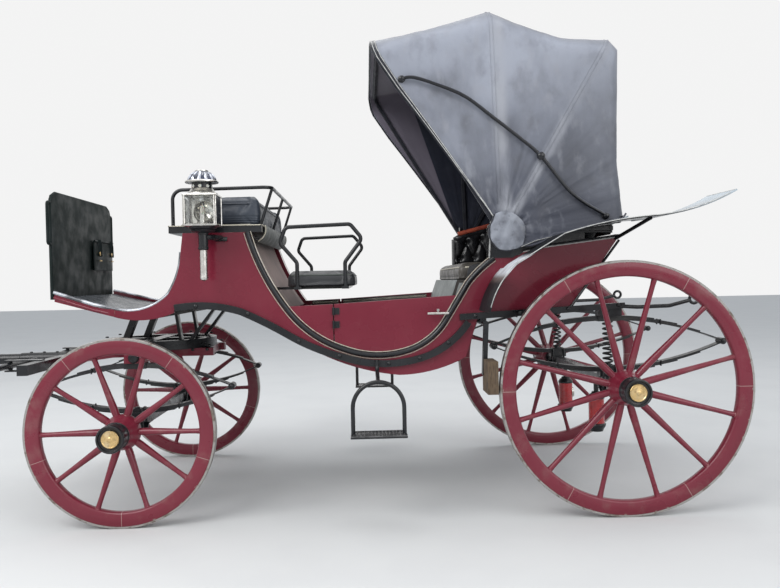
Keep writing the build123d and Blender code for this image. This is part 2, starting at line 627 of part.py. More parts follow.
# Dashboard at the nose
dash_x = nose_end - SOFT_GAP
DASH_UP = 106
dash_low = sill_z + DASH_UP
dash_face = Pos(0, 0, dash_low + DASH_HEIGHT / 2) * Box(DASH_THICK, 2 * dash_half, DASH_HEIGHT)
dash = fillet(dash_face.edges().filter_by(Axis.X).group_by(Axis.Z)[-1], DASH_CORNER)
save("dashboard", Pos(dash_x - DASH_THICK / 2, 0, 0) * dash)
HANDLE_R = 7
HANDLE_OUT = 26
HANDLE_BEND = 12
HANDLE_DOWN = 48
HANDLE_SPAN = 190
handle_x = dash_x - DASH_THICK / 2
handle_y = -dash_half - HANDLE_OUT
handle_top = dash_low + DASH_HEIGHT - HANDLE_DOWN
handle_foot = handle_top - HANDLE_SPAN
dash_handle = tube([(handle_x, -dash_half, handle_top), (handle_x, handle_y, handle_top),
                    (handle_x, handle_y, handle_foot), (handle_x, -dash_half, handle_foot)],
                   HANDLE_BEND, HANDLE_R)
save("dash_handles", both_sides(dash_handle))

# Box seat
BOX_FRONT = 185
BOX_BACK = 597
BOX_BOARD = 34
box_low = sill_z + BOX_UP
box_top = box_low + BOX_BOARD
box_base = box_at(front_axle_x + BOX_FRONT, front_axle_x + BOX_BACK, -BODY_HALF, BODY_HALF, box_low, box_top)
save("box_base", box_base)
CUSHION_THICK = 118
CUSHION_SIDE_IN = 50
CUSHION_FRONT_IN = 40
CUSHION_BACK_IN = 28
CUSHION_CORNER = 30
CUSHION_ROUND = 26
cushion_half = BODY_HALF - CUSHION_SIDE_IN
box_cushion = box_at(front_axle_x + BOX_FRONT + CUSHION_FRONT_IN, front_axle_x + BOX_BACK - CUSHION_BACK_IN,
                     -cushion_half, cushion_half, box_top, box_top + CUSHION_THICK)
box_cushion = fillet(box_cushion.edges().filter_by(Axis.Z), CUSHION_CORNER)
box_cushion = fillet(box_cushion.faces().sort_by(Axis.Z)[-1].edges(), CUSHION_ROUND)
save("box_cushion", box_cushion)

RAIL_R = 8
RAIL_IN = 30
RAIL_UP = 195
RAIL_FRONT_IN = 14
RAIL_BACK = 640
RAIL_LIFT = 8
RAIL_BEND = 45
RAIL_POST_IN = 40
rail_y = BODY_HALF - RAIL_IN
rail_top = box_low + RAIL_UP
rail_high = rail_top + RAIL_LIFT
rail_front = front_axle_x + BOX_FRONT + RAIL_FRONT_IN
rail_back = front_axle_x + RAIL_BACK
rail = tube([(rail_front, -rail_y, box_top), (rail_front, -rail_y, rail_top),
             (rail_back, -rail_y, rail_high), (rail_back, rail_y, rail_high),
             (rail_front, rail_y, rail_top), (rail_front, rail_y, box_top)], RAIL_BEND, RAIL_R)
for y in (-rail_y + RAIL_POST_IN, 0, rail_y - RAIL_POST_IN):
    rail += rod((front_axle_x + BOX_BACK - 12, y, box_top + 2), (rail_back, y, rail_high), RAIL_R - 1)
save("box_rail", rail - box_base - box_cushion)

# Lamps
LAMP_X = 357
LAMP_UP = 24
lamp_x = front_axle_x + LAMP_X
lamp_low = box_low + LAMP_UP
LAMP_BEVEL = 18
LAMP_PLATE = 10
LAMP_POST = 9
LAMP_SEAT = 2
PANE_THICK = 4
CANDLE_R = 13
CANDLE_HEIGHT = 70
FOOT_R = 60
FOOT_HEIGHT = 24
SHOULDER_R = 68
SHOULDER_HEIGHT = 26
NECK_R = 40
NECK_HEIGHT = 26
BRIM_R = 72
BRIM_THICK = 10
DOME_TOP_R = 20
DOME_HEIGHT = 36
SOCKET_R = 21
SOCKET_LENGTH = 76
STEM_R = 17
STEM_LENGTH = 216


def lamp_block(side, low, high):
    """A square block about the lamp's axis with its corners bevelled."""
    shape = Box(side, side, high - low, align=UPRIGHT)
    shape = chamfer(shape.edges().filter_by(Axis.Z), LAMP_BEVEL * side / LAMP_SIZE)
    return Pos(lamp_x, -lamp_y, low) * shape


lamp_high = lamp_low + LAMP_SIZE
lamp = lamp_block(LAMP_SIZE, lamp_low, lamp_low + LAMP_PLATE)
lamp += lamp_block(LAMP_SIZE, lamp_high - LAMP_PLATE, lamp_high)
corner = LAMP_SIZE / 2 - LAMP_POST / 2
for x_way in (-1, 1):
    for y_way in (-1, 1):
        for x, y in ((corner, corner - LAMP_BEVEL), (corner - LAMP_BEVEL, corner)):
            lamp += Pos(lamp_x + x_way * x, -lamp_y + y_way * y, lamp_low) * Box(
                LAMP_POST, LAMP_POST, LAMP_SIZE, align=UPRIGHT)
pane_side = LAMP_SIZE - 2 * LAMP_SEAT
pane = lamp_block(pane_side, lamp_low + LAMP_PLATE, lamp_high - LAMP_PLATE)
pane -= lamp_block(pane_side - 2 * PANE_THICK, lamp_low + LAMP_PLATE, lamp_high - LAMP_PLATE)
save("lamp_glass", both_sides(pane - lamp))
lamp += Pos(lamp_x, -lamp_y, lamp_low + LAMP_PLATE) * Cylinder(CANDLE_R, CANDLE_HEIGHT, align=UPRIGHT)
lamp += Pos(lamp_x, -lamp_y, lamp_low - FOOT_HEIGHT) * Cylinder(FOOT_R, FOOT_HEIGHT, align=UPRIGHT)
lamp += Pos(lamp_x, -lamp_y, lamp_high) * Cone(SHOULDER_R, NECK_R, SHOULDER_HEIGHT, align=UPRIGHT)
neck_low = lamp_high + SHOULDER_HEIGHT
brim_low = neck_low + NECK_HEIGHT - 4
brim_top = brim_low + BRIM_THICK
lamp += Pos(lamp_x, -lamp_y, neck_low) * Cylinder(NECK_R, NECK_HEIGHT, align=UPRIGHT)
lamp += Pos(lamp_x, -lamp_y, brim_low) * Cylinder(BRIM_R, BRIM_THICK, align=UPRIGHT)
lamp += Pos(lamp_x, -lamp_y, brim_top) * Cone(SHOULDER_R, DOME_TOP_R, DOME_HEIGHT, align=UPRIGHT)
socket_top = lamp_low - FOOT_HEIGHT + 4
socket_low = socket_top - SOCKET_LENGTH
lamp += rod((lamp_x, -lamp_y, socket_top), (lamp_x, -lamp_y, socket_low), SOCKET_R)
lamp += rod((lamp_x, -lamp_y, socket_low + 6), (lamp_x, -lamp_y, socket_top - STEM_LENGTH), STEM_R)
lamp += box_at(lamp_x - 15, lamp_x + 90, -lamp_y, -BODY_HALF, lamp_low - 60, lamp_low - 30)
save("lamps", both_sides(lamp))

# Steps: a stem from the rocker iron, a hoop and a tread plate
step_x, step_top = place("M", 0.515, -190)
HOOP_Z = 500
HOOP_R = 108
STEP_ROD = 9
STEP_DROP = 50
STEP_BEND = 30
TREAD_HALF = 60
TREAD_THICK = 8
TREAD_OVER = 10
hoop_plane = Plane(origin=(step_x, -step_y, 0), x_dir=(1, 0, 0), z_dir=(0, -1, 0))
hoop_line = edges((-HOOP_R, STEP_Z), (-HOOP_R, HOOP_Z), ((0, HOOP_Z + HOOP_R), (HOOP_R, HOOP_Z)),
                  (HOOP_R, STEP_Z))[:3]
hoop_path = hoop_plane * Wire(hoop_line)
step = sweep(Plane(origin=hoop_path @ 0, z_dir=hoop_path % 0) * Circle(STEP_ROD), path=hoop_path)
tread_x = HOOP_R + TREAD_OVER
step += box_at(step_x - tread_x, step_x + tread_x, -step_y - TREAD_HALF, -step_y + TREAD_HALF,
               STEP_Z - TREAD_THICK, STEP_Z)
stem_y = -BODY_HALF - IRON_PROUD - STEP_ROD
step += tube([(step_x, stem_y, step_top), (step_x, stem_y, step_top - STEP_DROP),
              (step_x, -step_y, HOOP_Z + HOOP_R)], STEP_BEND, STEP_ROD)
save("steps", both_sides(step))

# Child seat behind the box, with a rail at each end
CHILD_FRONT = 677
CHILD_BACK = 1027
child_front = front_axle_x + CHILD_FRONT
child_back = front_axle_x + CHILD_BACK
CHILD_SIDE_IN = 70
CHILD_UP = 142
CHILD_THICK = 73
CHILD_CORNER = 60
CHILD_ROUND = 24
CHILD_RAIL_IN = 52
CHILD_RAIL_R = 9
CHILD_RAIL_BEND = 26
CHILD_BEARER = 32
CHILD_BEARER_THICK = 12
CHILD_BEARER_Y = 300
child_half = BODY_HALF - CHILD_SIDE_IN
rail_half = BODY_HALF - CHILD_RAIL_IN
child_low = sill_z + CHILD_UP
child_top = child_low + CHILD_THICK
bearer_low = child_low - CHILD_BEARER_THICK
foot_front = child_front + 70
foot_back = child_back - 62
child = box_at(child_front, child_back, -child_half, child_half, child_low, child_top)
child = fillet(child.edges().filter_by(Axis.Z), CHILD_CORNER)
child = fillet(child.edges().group_by(Axis.Z)[-1], CHILD_ROUND)
save("child_seat", child)
child_rail = None
for y in (-rail_half, rail_half):
    made = tube([(foot_front, y, bearer_low), (foot_front, y, child_low + 110),
                 (child_front - 6, y, child_low + 200), (child_front + 20, y, child_low + 272),
                 (child_back - 36, y, child_low + 282), (child_back + 18, y, child_low + 215),
                 (foot_back, y, child_low + 110), (foot_back, y, bearer_low)], CHILD_RAIL_BEND, CHILD_RAIL_R)
    child_rail = made if child_rail is None else child_rail + made
for x in (foot_front, foot_back):
    child_rail += box_at(x - CHILD_BEARER / 2, x + CHILD_BEARER / 2, -rail_half - CHILD_RAIL_R,
                         rail_half + CHILD_RAIL_R, bearer_low, child_low)
for y in (-CHILD_BEARER_Y, CHILD_BEARER_Y):
    child_rail += box_at(child_front - 80, child_back - 50, y - CHILD_BEARER / 2, y + CHILD_BEARER / 2,
                         bearer_low, child_low)
save("child_seat_frame", child_rail - box_boards)

# Rear seat: cushion, and a squab that runs round the back and both sides
SEAT_CUSHION_THICK = 78
SEAT_CUSHION_BACK = -250
SEAT_CUSHION_OVER = 13
SEAT_CUSHION_ROUND = 26
SQUAB_TOP = 410
SQUAB_HOLLOW = 440
seat_level = sill_z + SEAT_TOP
soft_half = inner_half - SOFT_GAP
rear_cushion = box_at(SEAT_FRONT - SEAT_CUSHION_OVER, SEAT_CUSHION_BACK, -soft_half, soft_half,
                      seat_level, seat_level + SEAT_CUSHION_THICK)
rear_cushion = fillet(rear_cushion.edges().group_by(Axis.Z)[-1], SEAT_CUSHION_ROUND)
save("rear_cushion", rear_cushion)
BOW_DEPTH = 18
squab_low = seat_level + SEAT_CUSHION_THICK + SOFT_GAP
squab_top = sill_z + SQUAB_TOP
squab_line = edges((-620, squab_low), (-55, squab_low), (29, sill_z + 352), (29, squab_top),
                   (-600, squab_top))
hollow_line = edges((-700, squab_low - 1), (-160, squab_low - 1), (-50, squab_top + 1),
                    (-700, squab_top + 1))
squab_half = hood_half - LEATHER - BOW_DEPTH - 2 * SOFT_GAP - 1
squab = slab(squab_line, -squab_half, squab_half) - slab(hollow_line, -SQUAB_HOLLOW, SQUAB_HOLLOW)
for way in (-1, 1):
    squab -= box_at(-700, 60, way * hood_half, way * soft_half, squab_low - 1, sill_z + 370)
    squab -= box_at(-700, -540, way * hood_half, way * (BODY_HALF - SOFT_GAP), squab_low - 1, squab_top + 1)
save("rear_squab", squab)

# Rear wings over the wheels
wing_line = [place("R", -598, 20), place("R", -552, 135), place("R", -482, 221), place("R", -400, 270),
             place("R", -278, 342), place("R", -108, 385), place("R", 80, 410), place("R", 250, 435),
             place("R", 450, 514)]
WING_THICK = 6
WING_STAY_R = 8
wing = slab(band(wing_line, WING_THICK / 2, WING_THICK / 2), -wing_half, -BODY_HALF)
wing -= box_at(-500, 100, -hood_half - SOFT_GAP, -BODY_HALF + 1, sill_z + 200, sill_z + 450)
wing += rod((26, -BODY_HALF + 8, sill_z + 331), (92, -wing_half + 24, sill_z + 404), WING_STAY_R)
wing -= box_at(-700, 500, -BODY_HALF, 0, 0, 3000)
save("rear_wings", both_sides(wing))

# Hood: leather stretched over bows that fan out from a hinge on each side of the body
hinge_point = place("R", -510, 366)
HOOD_FAN = [  # top of each section as x from the rear axle and height above the sill, and its corner radius
    (-1130, 1224, HOOD_CORNER), (-539, 1366, HOOD_CORNER), (-209, 1253, HOOD_CORNER),
    (10, 1233, HOOD_CORNER), (50, 1192, HOOD_CORNER), (36, 690, HOOD_BACK_CORNER),
    (58, 420, HOOD_BACK_CORNER),
]
FAN_START = 60
FLAP_R = 80
HUB_R = 100
HUB_PIN_R = 9


def arch(top_x, top_up, corner, inset, start):
    """An upright arch across the carriage, in a plane through the hood's hinge line."""
    top = place("R", top_x, top_up)
    way = Vector(top[0] - hinge_point[0], 0, top[1] - hinge_point[1])
    reach = way.length - inset
    half = hood_half - inset
    bend = corner - inset
    plane = Plane(origin=(hinge_point[0], 0, hinge_point[1]), x_dir=(0, 1, 0),
                  z_dir=Vector(0, 1, 0).cross(way))
    line = [Line((half, start), (-half, start)), Line((-half, start), (-half, reach - bend)),
            RadiusArc((-half, reach - bend), (-half + bend, reach), bend),
            Line((-half + bend, reach), (half - bend, reach)),
            RadiusArc((half - bend, reach), (half, reach - bend), bend),
            Line((half, reach - bend), (half, start))]
    return plane * make_face(line)


hood_outer = loft([arch(x, up, corner, 0, FAN_START) for x, up, corner in HOOD_FAN], ruled=True)
hood_inner = loft([arch(x, up, corner, LEATHER, FAN_START - 20) for x, up, corner in HOOD_FAN], ruled=True)
last_x, last_up, last_corner = HOOD_FAN[-1]
hood_inner += extrude(arch(last_x, last_up, last_corner, LEATHER, FAN_START - 20), amount=-20, both=True)
hood = hood_outer - hood_inner
skirt_line = edges(place("R", -510, 380), place("R", -560, 340),
                   (place("R", -540, 290), place("R", -480, 282)), place("R", -421, 303),
                   (place("R", -280, 350), place("R", -22, 407)), place("R", 50, 440))
skirt = slab(skirt_line, -hood_half, -hood_half + LEATHER)
flap_disc = Rot(90, 0, 0) * Cylinder(FLAP_R, LEATHER)
flap = Pos(hinge_point[0], -hood_half + LEATHER / 2, hinge_point[1]) * flap_disc
hood += both_sides(skirt + flap)
front_edge = edges(place("R", -500, 250), place("R", -590, 300), place("R", -595, 500),
                   place("R", -732, 700), place("R", -848, 859), place("R", -951, 1000),
                   (place("R", -1055, 1150), place("R", -1072, 1300)), place("R", -1072, 1500),
                   place("R", -1300, 1500), place("R", -1300, 250))
hood -= slab(front_edge, -700, 700)
save("hood_cover", hood)

BOWS = [  # top of each bow and how far it lies inside the leather
    (-1045, 1244, 13), (-539, 1366, 14), (0, 1234, 17),
]
BOW_THICK = 20
bow_out = hood_half - LEATHER - SOFT_GAP
bow_in = bow_out - BOW_DEPTH
bows = None
for x, up, inset in BOWS:
    hoop = arch(x, up, HOOD_CORNER, inset, 80) - arch(x, up, HOOD_CORNER, inset + BOW_DEPTH, 70)
    bow = extrude(hoop, amount=BOW_THICK / 2, both=True)
    bows = bow if bows is None else bows + bow
for way in (-1, 1):
    hub_plate = Rot(90, 0, 0) * Cylinder(HUB_R, BOW_DEPTH)
    hub = Pos(hinge_point[0], way * (bow_out + bow_in) / 2, hinge_point[1]) * hub_plate
    hub += box_at(-505, -475, way * bow_in, way * bow_out, sill_z + 240, hinge_point[1])
    hub += rod((-490, way * BODY_HALF, sill_z + 250), (-490, way * bow_in, sill_z + 250), HUB_PIN_R)
    bows += hub
save("hood_bows", bows)

# Hood irons outside the leather
IRON_OUT = 14
IRON_R = 8
IRON_BEND = 60
IRON_JOINT_R = 15
IRON_JOINT_LENGTH = 20
IRON_FOOT_R = 9
iron_y = -hood_half - IRON_OUT
iron_points = [(-935, 1043), (-882, 1047), (-770, 1011), (-653, 958), (-537, 869), (-420, 777), (-329, 697),
               (-191, 529), (-42, 430)]
iron = tube([(x, iron_y, sill_z + up) for x, up in iron_points], IRON_BEND, IRON_R)
joint_boss = Cylinder(IRON_JOINT_R, IRON_JOINT_LENGTH, rotation=(90, 0, 0))
iron += Pos(iron_points[6][0], iron_y + 2, sill_z + iron_points[6][1] - 4) * joint_boss
for x, up in (iron_points[0], iron_points[-1]):
    iron += rod((x, iron_y - 6, sill_z + up), (x, -hood_half, sill_z + up), IRON_FOOT_R)
save("hood_irons", both_sides(iron))

# Upper plate of the turntable with its stays to the body
KINGPIN_UNDER = 14
PERCH_WIDTH = 40
PERCH_THICK = 14
NOSE_PERCH_THICK = 30
PERCHES = [  # foot and top x from the front axle, distance out, foot depth, height of the top, thickness
    (150, 130, 180, 4, 24, PERCH_THICK),
    (190, 330, 170, 8, 64, PERCH_THICK),
    (-120, -64, 180, 4, 26, NOSE_PERCH_THICK),
]
upper = Pos(front_axle_x, 0, plate_low + RING_THICK / 2) * ring
upper += rod((front_axle_x, 0, bolster_low - KINGPIN_UNDER), (front_axle_x, 0, plate_top), KINGPIN_R)
upper += Pos(front_axle_x, 0, bolster_low - KINGPIN_UNDER) * Cylinder(KINGPIN_R, 10)
for side in (-1, 1):
    for foot, top, out, sunk, up, thick in PERCHES:
        perch_foot = (front_axle_x + foot, side * out, plate_top - sunk)
        perch_top = (front_axle_x + top, side * out, sill_z + up)
        upper += bar(perch_foot, perch_top, PERCH_WIDTH, thick)
save("upper_ring", upper - bottom)

# Tail lamps and brake gear
TAIL_X = -2
TAIL_Y = 280
TAIL_HANGER_R = 12
TAIL_R = 38
TAIL_LENGTH = 150
TAIL_DROP = 133
TAIL_SKIRT_LOW_R = 30
TAIL_SKIRT_R = 46
TAIL_SKIRT_HEIGHT = 40
axle_under = rear_axle_z - AXLE_SIDE / 2
tail_z = axle_under - TAIL_DROP
tail = rod((TAIL_X, -TAIL_Y, axle_under), (TAIL_X, -TAIL_Y, tail_z + TAIL_LENGTH / 2), TAIL_HANGER_R)
tail += Pos(TAIL_X, -TAIL_Y, tail_z) * Cylinder(TAIL_R, TAIL_LENGTH)
skirt_z = tail_z - TAIL_LENGTH / 2 - TAIL_SKIRT_HEIGHT / 2
tail += Pos(TAIL_X, -TAIL_Y, skirt_z) * Cone(TAIL_SKIRT_LOW_R, TAIL_SKIRT_R, TAIL_SKIRT_HEIGHT)
save("tail_lamps", both_sides(tail))
BRAKE_X = -585
BRAKE_DROP = 35
BRAKE_OUT = 600
BRAKE_SHAFT_R = 12
BRAKE_ARM_WIDTH = 30
BRAKE_ARM_THICK = 20
BRAKE_LUG = 14
BLOCK_REACH = 6
BLOCK_DEPTH = 45
BLOCK_LOW = -10
BLOCK_HIGH = 130
brake_z = sill_z - BRAKE_DROP
brake = rod((BRAKE_X, -BRAKE_OUT, brake_z), (BRAKE_X, BRAKE_OUT, brake_z), BRAKE_SHAFT_R)
block_back = -REAR_WHEEL_R - BLOCK_REACH
for way in (-1, 1):
    arm = bar((BRAKE_X, way * BRAKE_OUT, brake_z), (block_back - 40, way * BRAKE_OUT, rear_axle_z + 60),
              BRAKE_ARM_WIDTH, BRAKE_ARM_THICK)
    arm += box_at(block_back - BLOCK_DEPTH, block_back, way * (REAR_TRACK / 2 + RIM_WIDTH / 2 + 1),
                  way * (BRAKE_OUT - 15), rear_axle_z + BLOCK_LOW, rear_axle_z + BLOCK_HIGH)
    arm += box_at(BRAKE_X - BRAKE_LUG, BRAKE_X + BRAKE_LUG, way * (BODY_HALF + 2),
                  way * (BODY_HALF + 2 + BRAKE_LUG), brake_z, sill_z - 10)
    brake += arm
save("brake_gear", brake - both_sides(sill_iron))
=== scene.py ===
import bmesh
import bpy
from math import atan2, copysign, cos, degrees, exp, hypot, pi, radians, sin, sqrt
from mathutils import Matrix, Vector, noise
from mathutils.bvhtree import BVHTree


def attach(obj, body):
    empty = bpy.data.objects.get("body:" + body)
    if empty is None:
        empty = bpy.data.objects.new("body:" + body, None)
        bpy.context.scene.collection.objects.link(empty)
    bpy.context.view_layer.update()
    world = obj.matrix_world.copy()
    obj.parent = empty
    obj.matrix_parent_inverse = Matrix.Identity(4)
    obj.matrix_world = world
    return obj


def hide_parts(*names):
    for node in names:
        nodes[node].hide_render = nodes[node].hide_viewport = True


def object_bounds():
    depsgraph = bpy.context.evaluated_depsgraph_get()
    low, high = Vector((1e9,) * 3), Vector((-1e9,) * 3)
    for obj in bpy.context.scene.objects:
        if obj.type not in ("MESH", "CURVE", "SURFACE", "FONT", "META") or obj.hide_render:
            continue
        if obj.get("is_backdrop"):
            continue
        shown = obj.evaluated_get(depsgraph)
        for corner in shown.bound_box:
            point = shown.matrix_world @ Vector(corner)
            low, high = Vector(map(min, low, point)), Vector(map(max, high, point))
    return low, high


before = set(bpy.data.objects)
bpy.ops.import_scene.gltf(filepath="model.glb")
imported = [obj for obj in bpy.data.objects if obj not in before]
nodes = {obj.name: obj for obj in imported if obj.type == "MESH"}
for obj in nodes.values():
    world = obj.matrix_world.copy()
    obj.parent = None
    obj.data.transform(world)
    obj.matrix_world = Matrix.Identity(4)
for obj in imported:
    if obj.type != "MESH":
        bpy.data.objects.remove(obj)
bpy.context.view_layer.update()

# Wheels: ash spokes driven into a turned elm nave, with bent felloes round them, painted burgundy.
# Each is built about its own axle. The felloes meet in butt joints that show as fine pale lines,
# and the paint is chipped where the iron tyre grips the wood.
REAR_X = 2.0335
FRONT_X = -0.1335
SILL_Z = 0.87
WHEELS = [  # end, axle x, half track, radius, spokes
    ("front", FRONT_X, 0.66, 0.406, 10),
    ("rear", REAR_X, 0.71, 0.55, 12),
]
SIDES = (("left", -1), ("right", 1))
TYRE_THICK = 0.01
FELLOE_DEPTH = 0.06
BURGUNDY = (0.156, 0.014, 0.029)


def shader_node(tree, kind, sockets, **settings):
    """One node of a tree, its sockets linked or set by name or number."""
    made = tree.nodes.new("ShaderNode" + kind)
    for name, value in settings.items():
        setattr(made, name, value)
    for socket, value in sockets.items():
        if isinstance(value, bpy.types.NodeSocket):
            tree.links.new(value, made.inputs[socket])
        else:
            made.inputs[socket].default_value = value
    return made


class Finish:
    """A surface under way: one shader, and the nodes that vary it over the piece."""

    def __init__(self, name, colour, rough, coat=(), **more):
        more.update(zip(("Coat_Weight", "Coat_Roughness"), coat))
        self.material = bpy.data.materials.new(name)
        self.material.use_nodes = True
        self.tree = self.material.node_tree
        self.shader = self.tree.nodes["Principled BSDF"]
        self.place = self.tree.nodes.new("ShaderNodeTexCoord").outputs["Object"]
        self.shader.inputs["Base Color"].default_value = (*colour, 1)
        self.shader.inputs["Roughness"].default_value = rough
        self.shader.inputs["Specular IOR Level"].default_value = 0.3
        for socket, value in more.items():
            self.shader.inputs[socket.replace("_", " ")].default_value = value

    def node(self, kind, sockets, **settings):
        """One node of this surface."""
        return shader_node(self.tree, kind, sockets, **settings)

    def noise(self, scale, detail, stretch=(1, 1, 1)):
        """Soft cloudy variation from 0 to 1, its grains stretched along an axis."""
        where = self.node("Mapping", {"Vector": self.place, "Scale": stretch}).outputs[0]
        return self.node("TexNoise", {"Vector": where, "Scale": scale, "Detail": detail}).outputs[0]

    def cells(self, scale):
        """The pebbles of a grained hide: 0 in their middles."""
        return self.node("TexVoronoi", {"Vector": self.place, "Scale": scale}).outputs[0]

    def sum(self, operation, a, b=0):
        """One step of arithmetic."""
        return self.node("Math", {0: a, 1: b}, operation=operation).outputs[0]

    def times(self, a, b):
        """One value times another."""
        return self.sum("MULTIPLY", a, b)

    def axes(self):
        """The three coordinates of the place."""
        return self.node("SeparateXYZ", {0: self.place}).outputs

    def upward(self):
        """How far the surface faces up: 1 when it is level."""
        return self.node("SeparateXYZ", {0: self.node("NewGeometry", {}).outputs["Normal"]}).outputs[2]

    def share(self, value, low, high, to_low=0, to_high=1):
        """Spreads the part of a value between low and high softly over another range."""
        sockets = {"Value": value, "From Min": low, "From Max": high, "To Min": to_low, "To Max": to_high}
        return self.node("MapRange", sockets, interpolation_type="SMOOTHSTEP").outputs[0]

    def edge(self, radius):
        """1 along the sharp edges of the piece, and the shading rounded there."""
        rounded = self.node("Bevel", {"Radius": radius}, samples=4).outputs[0]
        self.tree.links.new(rounded, self.shader.inputs["Normal"])
        plain = self.node("NewGeometry", {}).outputs["Normal"]
        turn = self.node("VectorMath", {0: rounded, 1: plain}, operation="DOT_PRODUCT").outputs["Value"]
        return self.share(turn, 0.99, 0.86)

    def tint(self, share, colour):
        """Turns the colour towards another one where share is 1."""
        base = self.shader.inputs["Base Color"]
        mix = self.node("Mix", {0: share, 7: (*colour, 1)}, data_type="RGBA")
        if base.is_linked:
            self.tree.links.new(base.links[0].from_socket, mix.inputs[6])
        else:
            mix.inputs[6].default_value = base.default_value
        self.tree.links.new(mix.outputs[2], base)
        return self

    def mottle(self, colour, scale, detail, low, high, most, least=0, stretch=(1, 1, 1)):
        """Clouds of another colour where the noise runs from low to high."""
        return self.tint(self.share(self.noise(scale, detail, stretch), low, high, least, most), colour)

    def rough(self, scale, detail, low, high):
        """Lets the roughness wander between two values."""
        wander = self.share(self.noise(scale, detail), 0.3, 0.7, low, high)
        self.tree.links.new(wander, self.shader.inputs["Roughness"])
        return self

    def bump(self, height, depth):
        """Raises the surface by depth metres where height is 1."""
        normal = self.shader.inputs["Normal"]
        raised = self.node("Bump", {"Height": height, "Distance": depth, "Strength": 1})
        if normal.is_linked:
            self.tree.links.new(normal.links[0].from_socket, raised.inputs["Normal"])
        self.tree.links.new(raised.outputs[0], normal)
        return self

    def grain(self, scale, detail, depth, stretch=(1, 1, 1)):
        """An uneven skin, such as brush marks, pits or a weave."""
        return self.bump(self.noise(scale, detail, stretch), depth)

    def pebbled(self, scale, depth):
        """The grain of leather."""
        return self.bump(self.cells(scale), depth)


def burgundy_paint(name, rough, coat, dust):
    """Brushed coach paint under varnish: an even red with faint brush marks, dust and dull edges."""
    paint = Finish(name, BURGUNDY, rough, coat=(coat, 0.06))
    worn = paint.edge(0.003)
    paint.mottle((0.2, 0.022, 0.04), 3, 4, 0.35, 0.75, 0.5).mottle((0.23, 0.12, 0.11), 14, 5, 0.52, 0.75, dust)
    paint.tint(paint.times(worn, paint.share(paint.noise(55, 4), 0.5, 0.62)), (0.3, 0.16, 0.14))
    paint.rough(9, 4, rough * 0.8, rough * 1.5).grain(260, 2, 0.00005, (1, 1, 0.25))
    return paint


def wheel_paint(name, axle_x, radius, felloes):
    """The same paint on a wheel, with the joints between its felloes."""
    paint = burgundy_paint(name, 0.3, 0.3, 0.3)
    split = paint.axes()
    across = paint.sum("SUBTRACT", split[0], axle_x)
    up = paint.sum("SUBTRACT", split[2], radius)
    turn = paint.sum("DIVIDE", paint.sum("ARCTAN2", across, up), 2 * pi / felloes)
    joint = paint.sum("PINGPONG", turn, 0.5)
    reach = paint.sum("SQRT", paint.sum("ADD", paint.times(across, across), paint.times(up, up)))
    in_felloe = paint.share(reach, radius - 0.0715, radius - 0.0705)
    line = paint.times(paint.share(joint, 0.4965, 0.4985), in_felloe)
    paint.tint(paint.times(line, 0.7), (0.42, 0.3, 0.27))
    chip = paint.times(paint.share(paint.noise(38, 5), 0.64, 0.68),
                       paint.share(reach, radius - 0.018, radius - 0.011))
    paint.tint(chip, (0.3, 0.24, 0.21))
    paint.bump(paint.times(line, -1), 0.0006)
    return paint


def skin(mesh, rows, closed=True, caps=False, kind=0):
    """Joins rows of points into faces, each row closed or open, with a face over both ends if asked."""
    for here, there in zip(rows, rows[1:]):
        for k in range(len(here) if closed else len(here) - 1):
            n = (k + 1) % len(here)
            mesh.faces.new((here[k], here[n], there[n], there[k])).material_index = kind
    if caps:
        mesh.faces.new(rows[0][::-1]).material_index = kind
        mesh.faces.new(rows[-1]).material_index = kind


def ring_of(count):
    """Even angles round a circle."""
    return [2 * pi * k / count for k in range(count)]


def turned(mesh, section, centre, out, steps=64, ring=False, kind=0):
    """Turns a half section of (radius, along) points about the axle line through centre, along out."""
    out = Vector(out)
    side = Vector((0, 0, 1)) if abs(out.z) < 0.5 else Vector((1, 0, 0))
    other = out.cross(side)
    rings = []
    for turn in ring_of(steps):
        away = side * cos(turn) + other * sin(turn)
        rings.append([mesh.verts.new(Vector(centre) + away * r + out * along) for r, along in section])
    skin(mesh, rings + rings[:1], closed=ring, kind=kind)


def tube(mesh, points, radius, sides=10, loop=False, kind=0, flatten=1):
    """A round bar along some points. Its radius is one number or one for each point."""
    points = [Vector(p) for p in points]
    count = len(points)
    radii = radius if isinstance(radius, (list, tuple)) else [radius] * count
    rings = []
    across = None
    for i, p in enumerate(points):
        before = points[i - 1] if i or loop else p
        after = points[(i + 1) % count] if i < count - 1 or loop else p
        way = (after - before).normalized()
        if across is None:
            across = way.orthogonal().normalized()
        across = (across - way * across.dot(way)).normalized()
        up = way.cross(across)
        rings.append([mesh.verts.new(p + (across * cos(a) + up * sin(a) * flatten) * radii[i])
                      for a in ring_of(sides)])
    skin(mesh, rings + rings[:1] if loop else rings, caps=not loop, kind=kind)


def placed(name, data):
    """An object of this data, in the scene."""
    made = bpy.data.objects.new(name, data)
    bpy.context.scene.collection.objects.link(made)
    return made


def formed(mesh, name):
    """The object that a mesh under way becomes."""
    data = bpy.data.meshes.new(name)
    mesh.to_mesh(data)
    mesh.free()
    return placed(name, data)


def piece(mesh, name, finishes, replaces=(), crease=38, body="carriage"):
    """Writes a mesh out as one piece that rides on a body, shaded smooth but for its creases."""
    bmesh.ops.remove_doubles(mesh, verts=mesh.verts, dist=0.00001)
    bmesh.ops.dissolve_degenerate(mesh, edges=mesh.edges, dist=0.000005)
    bmesh.ops.recalc_face_normals(mesh, faces=mesh.faces)
    for face in mesh.faces:
        face.smooth = True
    for line in mesh.edges:
        line.smooth = len(line.link_faces) == 2 and line.calc_face_angle(0) < radians(crease)
    made = formed(mesh, name)
    for finish in finishes:
        made.data.materials.append(finish.material)
    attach(made, body)
    if replaces:
        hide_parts(*replaces)
    return made


